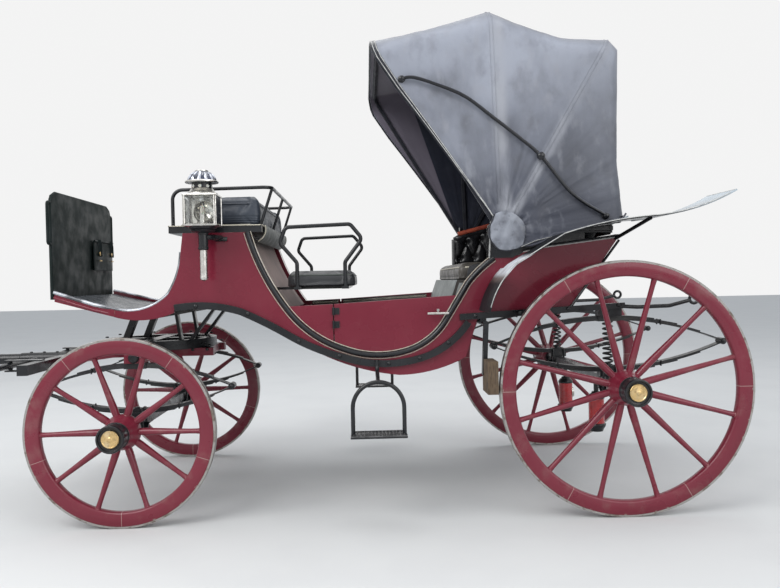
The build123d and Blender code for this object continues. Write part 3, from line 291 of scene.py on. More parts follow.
for end, axle_x, half_track, radius, spokes in WHEELS:
    paint = wheel_paint(end + "_wheel_paint", axle_x, radius, spokes // 2)
    wood_r = radius - TYRE_THICK
    inner_r = wood_r - FELLOE_DEPTH
    felloe = [(inner_r, -0.012), (inner_r, 0.012), (inner_r + 0.003, 0.0175), (inner_r + 0.009, 0.0205),
              (wood_r - 0.004, 0.021), (wood_r, 0.0195), (wood_r, -0.0195), (wood_r - 0.004, -0.021),
              (inner_r + 0.009, -0.0205), (inner_r + 0.003, -0.0175)]
    nave = [(0.024, -0.1), (0.046, -0.1), (0.05, -0.098), (0.053, -0.092), (0.053, -0.084), (0.057, -0.078),
            (0.068, -0.06), (0.0755, -0.044), (0.078, -0.026), (0.0765, -0.008), (0.071, 0.012), (0.064, 0.03),
            (0.0605, 0.04), (0.0605, 0.052), (0.057, 0.06), (0.05, 0.062), (0.024, 0.062)]
    for side_name, side in SIDES:
        centre = Vector((axle_x, side * half_track, radius))
        out = Vector((0, side, 0))
        mesh = bmesh.new()
        turned(mesh, felloe, centre, out, 144, ring=True)
        turned(mesh, nave, centre, out, 56)
        for i in range(spokes):
            turn = (i + 0.5) * 2 * pi / spokes
            away = Vector((sin(turn), 0, cos(turn)))
            along = away.cross(out)
            rings = []
            for share, wide, deep in ((0, 0.0145, 0.02), (0.06, 0.015, 0.02), (0.14, 0.0162, 0.0185),
                                      (0.3, 0.015, 0.0155), (0.55, 0.0125, 0.013), (0.82, 0.0106, 0.0112),
                                      (0.93, 0.0108, 0.0116), (0.98, 0.0122, 0.0132), (1, 0.0135, 0.015)):
                reach = 0.056 + share * (inner_r + 0.004 - 0.056)
                middle = centre + away * reach - out * 0.026 * (1 - share)
                rings.append([mesh.verts.new(middle + along * cos(a) * wide + out * sin(a) * deep)
                              for a in ring_of(14)])
            skin(mesh, rings, caps=True)
        piece(mesh, f"{end}_{side_name}_wheel_wood", [paint], [f"{end}_wheel_{side_name}"],
              body=f"{end}_wheel_{side_name}_body")

# Tyres: hoops of flat iron, shrunk on hot. The tread is rubbed bright, the flanks are grey with
# brown rust in the pits, and the outer corners are rolled over.
tyre_iron = (Finish("tyre_iron", (0.36, 0.345, 0.33), 0.42, Metallic=0.9)
    .mottle((0.135, 0.095, 0.07), 26, 6, 0.5, 0.66, 0.75)
    .mottle((0.5, 0.49, 0.47), 90, 3, 0.55, 0.8, 0.6).rough(40, 5, 0.34, 0.62)
    .grain(150, 5, 0.00025))
for end, axle_x, half_track, radius, spokes in WHEELS:
    band = [(radius - 0.0098, -0.0185), (radius - 0.0098, 0.0185), (radius - 0.002, 0.019), (radius - 0.0006, 0.0178),
            (radius, 0.012), (radius, -0.012), (radius - 0.0006, -0.0178), (radius - 0.002, -0.019)]
    for side_name, side in SIDES:
        mesh = bmesh.new()
        turned(mesh, band, (axle_x, side * half_track, radius), (0, side, 0), 144, ring=True)
        piece(mesh, f"{end}_{side_name}_tyre_iron", [tyre_iron], [f"{end}_tyre_{side_name}"], crease=30,
              body=f"{end}_wheel_{side_name}_body")

# Hub collars: a black enamelled collar on the end of each nave, with a polished brass cap screwed in
# that keeps the grease. The cap has a rolled rim.
enamel = Finish("black_enamel", (0.0085, 0.0095, 0.0115), 0.28, coat=(0.25, 0.08))
enamel_worn = enamel.edge(0.002)
enamel.mottle((0.022, 0.024, 0.028), 7, 5, 0.45, 0.8, 0.5)
enamel.tint(enamel.times(enamel_worn, enamel.share(enamel.noise(60, 3), 0.48, 0.62, 0, 0.8)), (0.085, 0.08, 0.075))
enamel.rough(16, 5, 0.2, 0.46).grain(120, 3, 0.00008)
brass = (Finish("worn_brass", (0.66, 0.47, 0.22), 0.28, Metallic=1)
    .mottle((0.3, 0.22, 0.12), 60, 5, 0.5, 0.72, 0.8)
    .mottle((0.78, 0.64, 0.42), 24, 2, 0.5, 0.7, 0.5).rough(45, 4, 0.2, 0.45)
    .grain(300, 3, 0.00006))
AXIS = 0.00001
UP = (0, 0, 1)
COLLAR = [(0.034, 0.0612), (0.0575, 0.0612), (0.0582, 0.064), (0.0582, 0.07), (0.0555, 0.0735), (0.0548, 0.078),
          (0.0548, 0.124), (0.0562, 0.1275), (0.0582, 0.13), (0.0582, 0.139), (0.0565, 0.1428), (0.054, 0.144),
          (0.0505, 0.144), (0.049, 0.1425), (0.048, 0.133), (0.044, 0.1312), (0.0355, 0.1312)]
CAP = [(0.0355, 0.1312), (0.0372, 0.1335), (0.0372, 0.1372), (0.0352, 0.1392), (0.0322, 0.1392), (0.0308, 0.1378),
       (0.024, 0.1384), (0.0105, 0.1402), (0.0095, 0.1412), (0.006, 0.142), (AXIS, 0.1422)]
for end, axle_x, half_track, radius, spokes in WHEELS:
    for side_name, side in SIDES:
        mesh = bmesh.new()
        place = (axle_x, side * half_track, radius)
        turned(mesh, COLLAR, place, (0, side, 0), 56)
        turned(mesh, CAP, place, (0, side, 0), 56, kind=1)
        piece(mesh, f"{end}_{side_name}_hub_collar", [enamel, brass], [f"{end}_hub_{side_name}"],
              crease=34, body=f"{end}_wheel_{side_name}_body")

# Axles: square iron beds with turned arms, black. Each spring sits on its bed between two clips,
# bent round bars with a nut on each leg, which the CAD leaves out.
def bare(finish, *node_names):
    """Gives nodes of the frame their finish."""
    for node_name in node_names:
        data = nodes[node_name].data
        data.materials.clear()
        data.materials.append(finish.material)


def domed_bolt(mesh, place, out, radius):
    """A round headed coach bolt standing on a surface."""
    head = [(radius, -0.0008), (radius, radius * 0.18), (radius * 0.86, radius * 0.42), (radius * 0.5, radius * 0.62),
            (AXIS, radius * 0.68)]
    turned(mesh, head, place, out, 12)


def hex_nut(mesh, place, out, radius):
    """A six sided nut with its washer and the end of the bolt."""
    turned(mesh, [(radius * 1.3, -0.0008), (radius * 1.3, radius * 0.22), (radius * 0.9, radius * 0.22)], place, out,
           18)
    turned(mesh, [(radius, radius * 0.2), (radius, radius), (radius * 0.5, radius * 1.12)], place, out, 6)
    turned(mesh, [(radius * 0.52, radius * 0.9), (radius * 0.52, radius * 1.5), (AXIS, radius * 1.6)], place, out, 12)


bare(enamel, "front_axle", "rear_axle")
AXLES = [  # end, body, axle x, axle z, spring y
    ("front", "fore_carriage", FRONT_X, 0.406, 0.42),
    ("rear", "carriage", REAR_X, 0.55, 0.46),
]
for end, body, axle_x, axle_z, spring_y in AXLES:
    mesh = bmesh.new()
    top = axle_z + 0.066
    low = axle_z - 0.029
    for side in (-1, 1):
        for x in (axle_x - 0.031, axle_x + 0.031):
            y0, y1 = side * spring_y - 0.0275, side * spring_y + 0.0275
            legs = [(x, y0, low - 0.012), (x, y0, low + 0.02), (x, y0, top - 0.008), (x, y0 + 0.004, top),
                    (x, (y0 + y1) / 2, top + 0.003), (x, y1 - 0.004, top), (x, y1, top - 0.008), (x, y1, low + 0.02),
                    (x, y1, low - 0.012)]
            tube(mesh, legs, 0.005, 8)
            for y in (y0, y1):
                hex_nut(mesh, (x, y, low), (0, 0, -1), 0.0085)
        tube(mesh, [(axle_x - 0.046, side * spring_y, low + 0.0035), (axle_x + 0.046, side * spring_y, low + 0.0035)],
             0.034, 4, flatten=0.12)
    piece(mesh, end + "_axle_clips", [enamel], body=body)

# Springs: full elliptic packs of tempered leaves, black paint worn to dark steel, with a bolt through
# each eye and one through the middle of the pack.
spring_steel = Finish("spring_leaf_paint", (0.016, 0.0175, 0.02), 0.34, coat=(0.25, 0.2))
spring_worn = spring_steel.edge(0.0012)
spring_steel.mottle((0.05, 0.047, 0.043), 20, 5, 0.5, 0.75, 0.7, stretch=(0.4, 1, 1))
spring_steel.tint(spring_steel.times(spring_worn, 0.5), (0.13, 0.125, 0.12))
spring_steel.rough(30, 4, 0.28, 0.55).grain(140, 4, 0.00015)
bare(spring_steel, "front_springs", "rear_springs")
SPRINGS = [  # end, body, axle x, middle z, half length, rise, y
    ("front", "fore_carriage", FRONT_X, 0.565, 0.435, 0.104, 0.42),
    ("rear", "carriage", REAR_X, 0.723, 0.53, 0.118, 0.46),
]
for end, body, axle_x, middle_z, half, rise, spring_y in SPRINGS:
    mesh = bmesh.new()
    for side in (-1, 1):
        for way in (-1, 1):
            for face_way in (-1, 1):
                domed_bolt(mesh, (axle_x + way * half, side * spring_y + face_way * 0.025, middle_z),
                           (0, face_way, 0), 0.011)
            turned(mesh, [(0.012, 0), (0.012, 0.006), (0.0001, 0.007)],
                   (axle_x, side * spring_y, middle_z + way * (rise - 0.011)), (0, 0, -way), 12)
            for span in (-0.45, 0.45):
                x = axle_x + span * half
                bow = (rise - 0.011) * (1 - span * span) * way
                tilt = -2 * span * (rise - 0.011) / half * way
                out = Vector((0, 0, way))
                along = Vector((1, 0, tilt)).normalized()
                for y in (-0.0225, 0.0225):
                    tube(mesh, [Vector((x, side * spring_y + y, middle_z + bow)) - out * 0.004,
                                Vector((x, side * spring_y + y, middle_z + bow)) + out * 0.022], 0.004, 6)
                tube(mesh, [Vector((x, side * spring_y - 0.024, middle_z + bow)) + out * 0.0175,
                            Vector((x, side * spring_y + 0.024, middle_z + bow)) + out * 0.0175], 0.0035, 6)
    piece(mesh, end + "_spring_bolts", [enamel], body=body)

# Coil springs: helper springs of round steel wire, one standing in the middle of each rear pack
# between two cups, its black paint worn grey.
COIL_TURNS = 9
COIL_R = 0.0205
COIL_Y = 0.46
low, high = 0.6205, 0.8255
mesh = bmesh.new()
for side in (-1, 1):
    path = []
    for step in range(COIL_TURNS * 20 + 1):
        turn = 2 * pi * step / 20
        path.append((REAR_X + COIL_R * cos(turn), side * COIL_Y + COIL_R * sin(turn),
                     low + (high - low) * step / (COIL_TURNS * 20)))
    tube(mesh, path, 0.0048, 8)
    for z, out in ((low - 0.003, 1), (high + 0.003, -1)):
        turned(mesh, [(AXIS, 0), (0.025, 0), (0.025, 0.003), (0.014, 0.004), (0.012, 0.014), (AXIS, 0.015)],
               (REAR_X, side * COIL_Y, z), (0, 0, out), 24)
piece(mesh, "rear_coil_wires", [spring_steel], ["coil_springs"])

# Fore-carriage: ash bolster and futchells painted burgundy, and two iron rings that slide on each
# other as the pole turns, enamelled black.
frame_paint = burgundy_paint("fore_frame_paint", 0.3, 0.25, 0.35)
bare(frame_paint, "fore_frame")
bare(enamel, "lower_ring", "upper_ring")
mesh = bmesh.new()
for side in (-1, 1):
    for x in (FRONT_X - 0.15, FRONT_X + 0.22, FRONT_X + 0.28):
        domed_bolt(mesh, (x, side * 0.15, 0.7315), UP, 0.009)
    for x in (FRONT_X - 0.18, FRONT_X + 0.2, FRONT_X + 0.27):
        domed_bolt(mesh, (x, side * 0.169, 0.713), (0, side, 0), 0.008)
    turned(mesh, [(0.024, -0.001), (0.024, 0.008), (0.02, 0.014), (0.01, 0.017), (AXIS, 0.018)],
           (FRONT_X, side * 0.455, 0.705), (0, side, 0), 24)
RING_R = 0.2575
for x in (FRONT_X - RING_R, FRONT_X + RING_R):
    for y in (-0.09, 0, 0.09):
        domed_bolt(mesh, (x, y, 0.693), (0, 0, -1), 0.008)
piece(mesh, "fore_frame_bolts", [enamel], body="fore_carriage")
mesh = bmesh.new()
for k in range(8):
    turn = pi / 4 * (k + 0.5)
    domed_bolt(mesh, (FRONT_X + RING_R * cos(turn), RING_R * sin(turn), 0.7761), UP, 0.009)
piece(mesh, "upper_ring_bolts", [enamel])

# Splinter bar, pole and swingletrees: turned ash under black enamel, with iron ferrules. The pole is
# thickest where it enters its sleeve and runs out to an iron tip with a ring above and below.
bare(enamel, "splinter_bar")
SPLINTER_Z = 0.671
POLE_FOOT = -0.6095
POLE_TIP = -2.5835
mesh = bmesh.new()
length = POLE_FOOT - POLE_TIP
shaft = [(AXIS, 0), (0.0305, 0), (0.031, 0.003), (0.031, 0.224), (0.0298, 0.23), (0.0262, 0.232), (0.0268, 0.5),
         (0.0262, 1), (0.0245, 1.5), (0.024, length - 0.2), (0.025, length - 0.198), (0.0258, length - 0.19),
         (0.0258, length - 0.084), (0.028, length - 0.078), (0.0338, length - 0.073), (0.034, length - 0.047),
         (0.03, length - 0.04), (0.0256, length - 0.036), (0.025, length - 0.006), (0.02, length), (AXIS, length)]
turned(mesh, shaft, (POLE_FOOT, 0, SPLINTER_Z), (-1, 0, 0), 40)
for up in (-0.048, 0.048):
    ring = [(POLE_TIP + 0.06, 0.022 * cos(a), SPLINTER_Z + up + 0.022 * sin(a)) for a in ring_of(32)]
    tube(mesh, ring, 0.0058, 10, loop=True)
for at in (0.05, 0.115, 0.18):
    domed_bolt(mesh, (POLE_FOOT - at, 0, SPLINTER_Z + 0.0308), UP, 0.008)
piece(mesh, "pole_shaft", [enamel], ["pole"], body="fore_carriage")
TREE_X, TREE_Y = POLE_FOOT - 0.13, 0.335
for side_name, side in SIDES:
    mesh = bmesh.new()
    bar = [(AXIS, -0.27), (0.01, -0.27), (0.0125, -0.268), (0.0125, -0.24), (0.0112, -0.236), (0.0118, -0.18),
           (0.0142, -0.08), (0.0158, -0.03), (0.016, 0)]
    bar += [(r, -along) for r, along in bar[-2::-1]]
    turned(mesh, bar, (TREE_X, side * TREE_Y, SPLINTER_Z), (0, 1, 0), 28)
    for end in (-1, 1):
        middle = Vector((TREE_X - 0.022, side * TREE_Y + end * 0.258, SPLINTER_Z))
        ring = [middle + Vector((0.016 * cos(a), 0.016 * sin(a), 0)) for a in ring_of(28)]
        tube(mesh, ring, 0.0048, 8, loop=True)
    piece(mesh, f"swingletree_{side_name}_bar", [enamel], ["swingletree_" + side_name],
          body=f"swingletree_{side_name}_body")

# Body: panels of mahogany over an ash frame, rubbed down and varnished deep burgundy, with a black
# floor. Hinges and the T handle of each low door are iron and nickel, and move with it.
body_paint = burgundy_paint("body_varnish", 0.24, 0.3, 0.04)
body_paint.shader.inputs["Specular IOR Level"].default_value = 0.22
nickel = (Finish("nickel_plate", (0.62, 0.61, 0.58), 0.22, Metallic=1)
    .mottle((0.4, 0.38, 0.34), 50, 5, 0.5, 0.75, 0.6).rough(36, 4, 0.12, 0.4)
    .grain(220, 3, 0.00005))
floor_boards = (Finish("floor_boards", (0.016, 0.015, 0.015), 0.55)
    .mottle((0.045, 0.04, 0.036), 9, 5, 0.4, 0.7, 0.7, stretch=(0.3, 3, 1)).rough(20, 4, 0.42, 0.75)
    .grain(60, 4, 0.0006, (0.2, 3, 1)))
bare(body_paint, "body_side_left", "body_side_right", "rear_panel")
bare(floor_boards, "body_bottom")
hinge_x = FRONT_X + 0.91
for name, side in (("door_left", -1), ("door_right", 1)):
    bare(body_paint, name)
    door = nodes[name].data
    door.materials.append(enamel.material)
    door.materials.append(nickel.material)
    for face in door.polygons:
        if side * face.center.y > 0.5105:
            face.material_index = 1 if face.center.x < hinge_x + 0.05 else 2

# Body beads: half round oak mouldings along the lower edge of the panels, enamelled black, with a fine
# cream stripe on each side that is a painted highlight along the bead's edges.
LINE_UPS = [  # the moulding's middle line as (x, z), with every second point the middle of an arc
    (FRONT_X + 0.533, 1.262), (FRONT_X + 0.607, 1.068), (FRONT_X + 0.715, 0.896), (0.6932, 0.792), (0.8245, 0.727),
    (0.9737, 0.698), (1.1135, 0.718), (1.2137, 0.772), (1.2884, 0.86), (REAR_X - 0.697, 0.937),
    (REAR_X - 0.65, 1.014), (REAR_X - 0.6, 1.068), (REAR_X - 0.53, 1.125),
]
cream = (Finish("cream_line", (0.58, 0.54, 0.44), 0.45)
    .mottle((0.36, 0.32, 0.25), 70, 4, 0.45, 0.75, 0.8).rough(60, 3, 0.35, 0.6)
    .grain(400, 2, 0.00004))


def arc_through(a, m, b, steps):
    """Points along the arc from a through m to b, in the side view."""
    (ax, az), (mx, mz), (bx, bz) = a, m, b
    d = 2 * (ax * (mz - bz) + mx * (bz - az) + bx * (az - mz))
    if abs(d) < 1e-6:
        return [(ax + (bx - ax) * k / steps, az + (bz - az) * k / steps) for k in range(steps + 1)]
    sa, sm, sb = (p[0] ** 2 + p[1] ** 2 for p in (a, m, b))
    cx = (sa * (mz - bz) + sm * (bz - az) + sb * (az - mz)) / d
    cz = (sa * (bx - mx) + sm * (ax - bx) + sb * (mx - ax)) / d
    start, end = atan2(az - cz, ax - cx), atan2(bz - cz, bx - cx)
    turn = (end - start + pi) % (2 * pi) - pi
    r = hypot(ax - cx, az - cz)
    return [(cx + r * cos(start + turn * k / steps), cz + r * sin(start + turn * k / steps))
            for k in range(steps + 1)]


def arcs(points, steps):
    """A run of arcs through start, middle, end, middle, end and so on."""
    path = [points[0]]
    for i in range(0, len(points) - 2, 2):
        path += arc_through(*points[i:i + 3], steps)[1:]
    return path


def aside(path, by):
    """The path moved to its left by that much, in the side view."""
    moved = []
    for i, (x, z) in enumerate(path):
        ax, az = path[max(i - 1, 0)]
        bx, bz = path[min(i + 1, len(path) - 1)]
        size = hypot(bx - ax, bz - az)
        moved.append((x - (bz - az) / size * by, z + (bx - ax) / size * by))
    return moved


def strip(mesh, path, section, kind=0):
    """Sweeps an open section of (across, y) points along a side view path, closed at both ends."""
    rows = [aside(path, across) for across, y in section]
    made = [[mesh.verts.new((row[i][0], y, row[i][1])) for row, (across, y) in zip(rows, section)]
            for i in range(len(path))]
    skin(mesh, made, caps=True, kind=kind)


bead_path = arcs(LINE_UPS, 14)
mesh = bmesh.new()
for side in (-1, 1):
    round_section = [(0.012 * cos(pi * k / 8), side * (0.51 + 0.014 * sin(pi * k / 8))) for k in range(9)]
    strip(mesh, bead_path, round_section)
    # Painted highlights: a fine cream stripe along each edge of the bead.
    for across in (-0.0155, 0.0155):
        strip(mesh, bead_path, [(across - 0.0014, side * 0.5098), (across - 0.0014, side * 0.5112),
                                (across + 0.0014, side * 0.5112), (across + 0.0014, side * 0.5098)], kind=1)
piece(mesh, "body_bead_mouldings", [enamel, cream], ["body_beads"], crease=50)
bare(enamel, "rocker_irons", "sill_irons")
mesh = bmesh.new()
for side in (-1, 1):
    for x, z in ((FRONT_X + 0.3, 0.936), (FRONT_X + 0.53, 0.898), (0.62, 0.77), (0.8, 0.7), (1.02, 0.661),
                 (1.16, 0.682), (1.29, 0.748)):
        domed_bolt(mesh, (x, side * 0.528, z), (0, side, 0), 0.0095)
    for x in (REAR_X - 0.62, REAR_X - 0.42, REAR_X - 0.2, REAR_X + 0.03):
        domed_bolt(mesh, (x, side * 0.528, SILL_Z + 0.028 * (x - REAR_X + 0.69) / 0.5 - 0.008), (0, side, 0), 0.0095)
piece(mesh, "body_iron_bolts", [enamel])

# Nose and scuttle edges: a rounded iron rim, black with pale blue grey clouds that are partly rubbed iron
# and partly a painted highlight, nailed along the edge of each side from the dashboard back to the box,
# over a half round moulding painted like the body.
# Pale blue grey clouds on the black rim: partly rubbed iron, partly a painted highlight.
rim_rubbed_and_highlit = (Finish("rubbed_and_highlit_rim", (0.09, 0.094, 0.104), 0.25, Metallic=0.5, Coat_Weight=0.3)
    .mottle((0.46, 0.48, 0.52), 9, 4, 0.38, 0.6, 0.9).rough(50, 3, 0.18, 0.42)
    .grain(160, 3, 0.0001))
scuttle = arcs([(FRONT_X - 0.065, 0.927), (FRONT_X + 0.04, 0.921), (FRONT_X + 0.175, 0.99), (FRONT_X + 0.212, 1.062),
                (FRONT_X + 0.235, 1.175)], 12)
mesh = bmesh.new()
for side in (-1, 1):
    path = [Vector((FRONT_X - 0.368, side * 0.402, 1.0085)), Vector((FRONT_X - 0.16, side * 0.476, 0.9495))]
    path += [Vector((x, side * 0.5, z + 0.003)) for x, z in scuttle]
    tube(mesh, path, 0.0085, 12)
    tube(mesh, [p + Vector((0, side * 0.0015, -0.0235)) for p in path], 0.0062, 10, kind=1)
piece(mesh, "scuttle_rims", [rim_rubbed_and_highlit, body_paint])

# Toe floor: a patent leather mat on the sloping boards behind the dashboard, mottled blue grey and
# polished in patches.
mat_leather = (Finish("toe_mat_leather", (0.055, 0.062, 0.072), 0.28, coat=(0.3, 0.15))
    .mottle((0.11, 0.12, 0.135), 12, 5, 0.45, 0.7, 0.8).rough(25, 4, 0.22, 0.5).pebbled(420, 0.00025))
mesh = bmesh.new()
toe_path = arcs([(FRONT_X - 0.358, 0.984), (FRONT_X - 0.2, 0.942), (FRONT_X - 0.065, 0.9145),
                 (FRONT_X + 0.06, 0.8955), (FRONT_X + 0.18, 0.917)], 16)
rows = []
for i, (x, z) in enumerate(toe_path):
    half = 0.474 - max(0, FRONT_X - 0.065 - x) * 0.108 / 0.303
    rows.append([mesh.verts.new((x, half * (k / 20 - 1), z + 0.0035 + 0.0016 * cos(k * pi))) for k in range(41)])
    rows[-1] += [mesh.verts.new((x, half, z - 0.001)), mesh.verts.new((x, -half, z - 0.001))]
skin(mesh, rows, caps=True)
toe_mat = piece(mesh, "toe_floor_mat", [mat_leather])

# Dashboard: iron frame covered in dark green black leather, stitched round its edge, with a small
# strapped pocket behind it held by brass studs, and a leather covered grab loop on each side.
dash_leather = (Finish("dash_leather", (0.0095, 0.0155, 0.0145), 0.4)
    .mottle((0.018, 0.025, 0.026), 6, 5, 0.45, 0.72, 0.7)
    .mottle((0.06, 0.06, 0.056), 48, 5, 0.62, 0.78, 0.4))
dash_leather.shader.inputs["Specular IOR Level"].default_value = 0.12
dash_leather.rough(14, 5, 0.34, 0.6).pebbled(520, 0.00022).grain(18, 4, 0.0012)
DASH_X = FRONT_X - 0.3683
DASH_LOW = 0.976
DASH_TOP = 1.47
DASH_HALF = 0.402


def crowned_board(mesh, half, low, high, corner, back, front, crown, across=36, up=30):
    """A board with rounded upper corners whose two faces swell gently between stitched edges."""
    grids = []
    for base, way in ((back, 1), (front, -1)):
        grid = []
        for j in range(up + 1):
            v = j / up
            row = []
            for i in range(across + 1):
                u = 2 * i / across - 1
                z = low + (high - low) * v
                wide = half
                if z > high - corner:
                    wide = half - corner + sqrt(max(0, corner ** 2 - (z - high + corner) ** 2))
                near = min((1 - abs(u)) * half, high - z + 0.004, z - low + 0.004)
                swell = crown * (1 - exp(-near / 0.035))
                seam = 0.0016 * exp(-((near - 0.022) / 0.0035) ** 2)
                row.append(mesh.verts.new((base + way * (swell - crown - seam), u * wide, z)))
            grid.append(row)
        skin(mesh, grid, closed=False)
        grids.append(grid)
    a, b = grids
    rim = [(a[j][0], b[j][0]) for j in range(up + 1)] + [(a[up][i], b[up][i]) for i in range(1, across + 1)]
    rim += [(a[j][across], b[j][across]) for j in range(up - 1, -1, -1)]
    rim += [(a[0][i], b[0][i]) for i in range(across - 1, 0, -1)]
    skin(mesh, list(zip(*rim)))


mesh = bmesh.new()
crowned_board(mesh, DASH_HALF, DASH_LOW, DASH_TOP, 0.06, DASH_X, DASH_X - 0.022, 0.0045)
edge = [Vector((DASH_X - 0.011, y, z)) for y, z in (
    (-0.4, DASH_LOW), (-0.4, DASH_TOP - 0.06), (-0.3824, DASH_TOP - 0.0176), (-0.342, DASH_TOP - 0.0005),
    (0.342, DASH_TOP - 0.0005), (0.3824, DASH_TOP - 0.0176), (0.4, DASH_TOP - 0.06), (0.4, DASH_LOW))]
tube(mesh, edge, 0.0075, 10)
piece(mesh, "dash_panel", [dash_leather], ["dashboard"], crease=60)
mesh = bmesh.new()
POCKET_Y, POCKET_HALF = 0.22, 0.14
crowned_board(mesh, POCKET_HALF, 1.118, 1.268, 0.02, DASH_X + 0.024, DASH_X - 0.001, 0.01, across=24, up=16)
for vertex in mesh.verts:
    vertex.co.y += POCKET_Y
tube(mesh, [(DASH_X + 0.016, POCKET_Y - POCKET_HALF, 1.27), (DASH_X + 0.016, POCKET_Y + POCKET_HALF, 1.27)], 0.006, 8)
for y in (POCKET_Y - 0.09, POCKET_Y + 0.09):
    tube(mesh, [(DASH_X + 0.019, y, 1.278), (DASH_X + 0.0245, y, 1.25), (DASH_X + 0.026, y, 1.19)], 0.014, 8,
         flatten=0.14)
    turned(mesh, [(0.011, -0.001), (0.011, 0.0025), (0.008, 0.0035), (0.0001, 0.004)], (DASH_X + 0.027, y, 1.205),
           (1, 0, 0), 20, kind=1)
    tube(mesh, [(DASH_X + 0.03, y - 0.014, 1.168), (DASH_X + 0.03, y + 0.014, 1.168)], 0.0032, 8, kind=1)
piece(mesh, "dash_pocket", [dash_leather, brass], crease=60)
bare(dash_leather, "dash_handles")

# Box seat boards: the scuttle's cross board is varnished inside as outside. The board behind the box
# is lined behind with faded rose grey cloth.
bare(body_paint, "box_boards")
rose_cloth = (Finish("rose_lining_cloth", (0.36, 0.255, 0.225), 0.85, Sheen_Weight=0.3)
    .mottle((0.26, 0.18, 0.16), 7, 5, 0.4, 0.7, 0.8).rough(20, 3, 0.75, 0.95)
    .grain(900, 2, 0.00025, (1, 1, 0.3)))
back_path = arc_through((FRONT_X + 0.5215, 1.245), (FRONT_X + 0.594, 1.071), (FRONT_X + 0.6955, 0.905), 22)
mesh = bmesh.new()
strip(mesh, back_path, [(-0.001, -0.484), (0.0035, -0.48), (0.0045, -0.47), (0.0045, 0.47), (0.0035, 0.48),
                        (-0.001, 0.484)])
back_cloth = piece(mesh, "box_back_lining", [rose_cloth])

# Box seat: a black plank on the body with a piped leather fall behind it and a thick cushion of
# grey blue leather, stuffed with horsehair, that crowns above its welted edges.
bare(enamel, "box_base")
seat_leather = (Finish("box_seat_leather", (0.032, 0.039, 0.053), 0.42, coat=(0.15, 0.3))
    .mottle((0.056, 0.068, 0.088), 5, 5, 0.42, 0.72, 0.75)
    .mottle((0.1, 0.105, 0.11), 34, 5, 0.62, 0.8, 0.5).rough(17, 4, 0.34, 0.58).pebbled(380, 0.0003)
    .grain(22, 4, 0.0009))
scene = bpy.context.scene


def settled(made, kind, **settings):
    """Applies a modifier to an object by taking its finished mesh."""
    modifier = made.modifiers.new(kind.lower(), kind)
    for name, value in settings.items():
        setattr(modifier, name, value)
    bpy.context.view_layer.update()
    ready = bpy.data.meshes.new_from_object(made.evaluated_get(bpy.context.evaluated_depsgraph_get()))
    made.modifiers.clear()
    old = made.data
    made.data = ready
    bpy.data.meshes.remove(old)


def stuffed(name, low, high, corner, pull, crown, finish, replaces, voxel=0.0066, reach=0.014,
            seams=()):
    """A leather cushion blown up by cloth simulation inside its box: it is sewn a little small, its flat
    underside is held on the seat, and its sides are pulled in between the corners."""
    low, high = Vector(low), Vector(high)
    middle, half = (low + high) / 2, (high - low) / 2
    shell = half - Vector((reach * 0.8, reach * 0.8, 0))
    top = high.z - crown
    outline = []
    for quarter, (x_way, y_way) in enumerate(((1, 1), (-1, 1), (-1, -1), (1, -1))):
        for k in range(7):
            a = quarter * pi / 2 + k * pi / 12
            outline.append((x_way * (shell.x - corner) + corner * cos(a),
                            y_way * (shell.y - corner) + corner * sin(a)))
    mesh = bmesh.new()
    levels = [(low.z, 0.012), (low.z + 0.01, 0.003), (low.z + 0.02, 0), (top - 0.022, 0), (top - 0.008, 0.004),
              (top, 0.014)]
    rings = []
    for z, inset in levels:
        shrink = (shell.x - inset) / shell.x, (shell.y - inset) / shell.y
        rings.append([mesh.verts.new((middle.x + x * shrink[0], middle.y + y * shrink[1], z)) for x, y in outline])
    skin(mesh, rings, caps=True)
    made = formed(mesh, name)
    settled(made, "REMESH", mode="VOXEL", voxel_size=voxel)
    start = [v.co.copy() for v in made.data.vertices]
    held = made.vertex_groups.new(name="held")
    held.add([i for i, p in enumerate(start) if p.z < low.z + 0.007], 1, "REPLACE")
    cloth = made.modifiers.new("cloth", "CLOTH")
    cloth.settings.use_pressure = True
    cloth.settings.uniform_pressure_force = 4
    cloth.settings.effector_weights.gravity = 0
    cloth.settings.vertex_group_mass = "held"
    cloth.settings.quality = 4
    cloth.point_cache.frame_end = 20
    for step in range(1, 21):
        scene.frame_set(step)
    blown = bpy.data.meshes.new_from_object(made.evaluated_get(bpy.context.evaluated_depsgraph_get()))
    made.modifiers.clear()
    for vertex, old, new in zip(made.data.vertices, start, blown.vertices):
        move = new.co - old
        if move.length > reach:
            move.length = reach
        vertex.co = old + move
    bpy.data.meshes.remove(blown)
    scene.frame_set(1)
    settled(made, "SUBSURF", levels=1, render_levels=1)
    for vertex in made.data.vertices:
        p = vertex.co
        u, v = (p.x - middle.x) / half.x, (p.y - middle.y) / half.y
        lift = max(0, (1 - u ** 4)) * max(0, (1 - v ** 6))
        share = min(1, max(0, (p.z - low.z) / (high.z - low.z)))
        p.z += crown * 0.85 * lift * share ** 2
        p.x -= pull * u * (1 - min(1, abs(v)) ** 4) * (1 if share < 0.95 else 0.5)
        p.y -= pull * v * (1 - min(1, abs(u)) ** 4) * (1 if share < 0.95 else 0.5)
        for seam_z in seams:
            near = exp(-((p.z - seam_z) / 0.0022) ** 2)
            p.x -= copysign(0.0022, u) * near * (abs(u) > 0.7)
            p.y -= copysign(0.0022, v) * near * (abs(v) > 0.7)
        wrinkle = noise.noise(p * 9) * 0.0022 + noise.noise(p * 26) * 0.0008
        p.z += wrinkle * share
        p.z = min(max(p.z, low.z), high.z)
    for face in made.data.polygons:
        face.use_smooth = True
    made.data.materials.append(finish.material)
    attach(made, "carriage")
    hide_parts(*replaces)
    return made


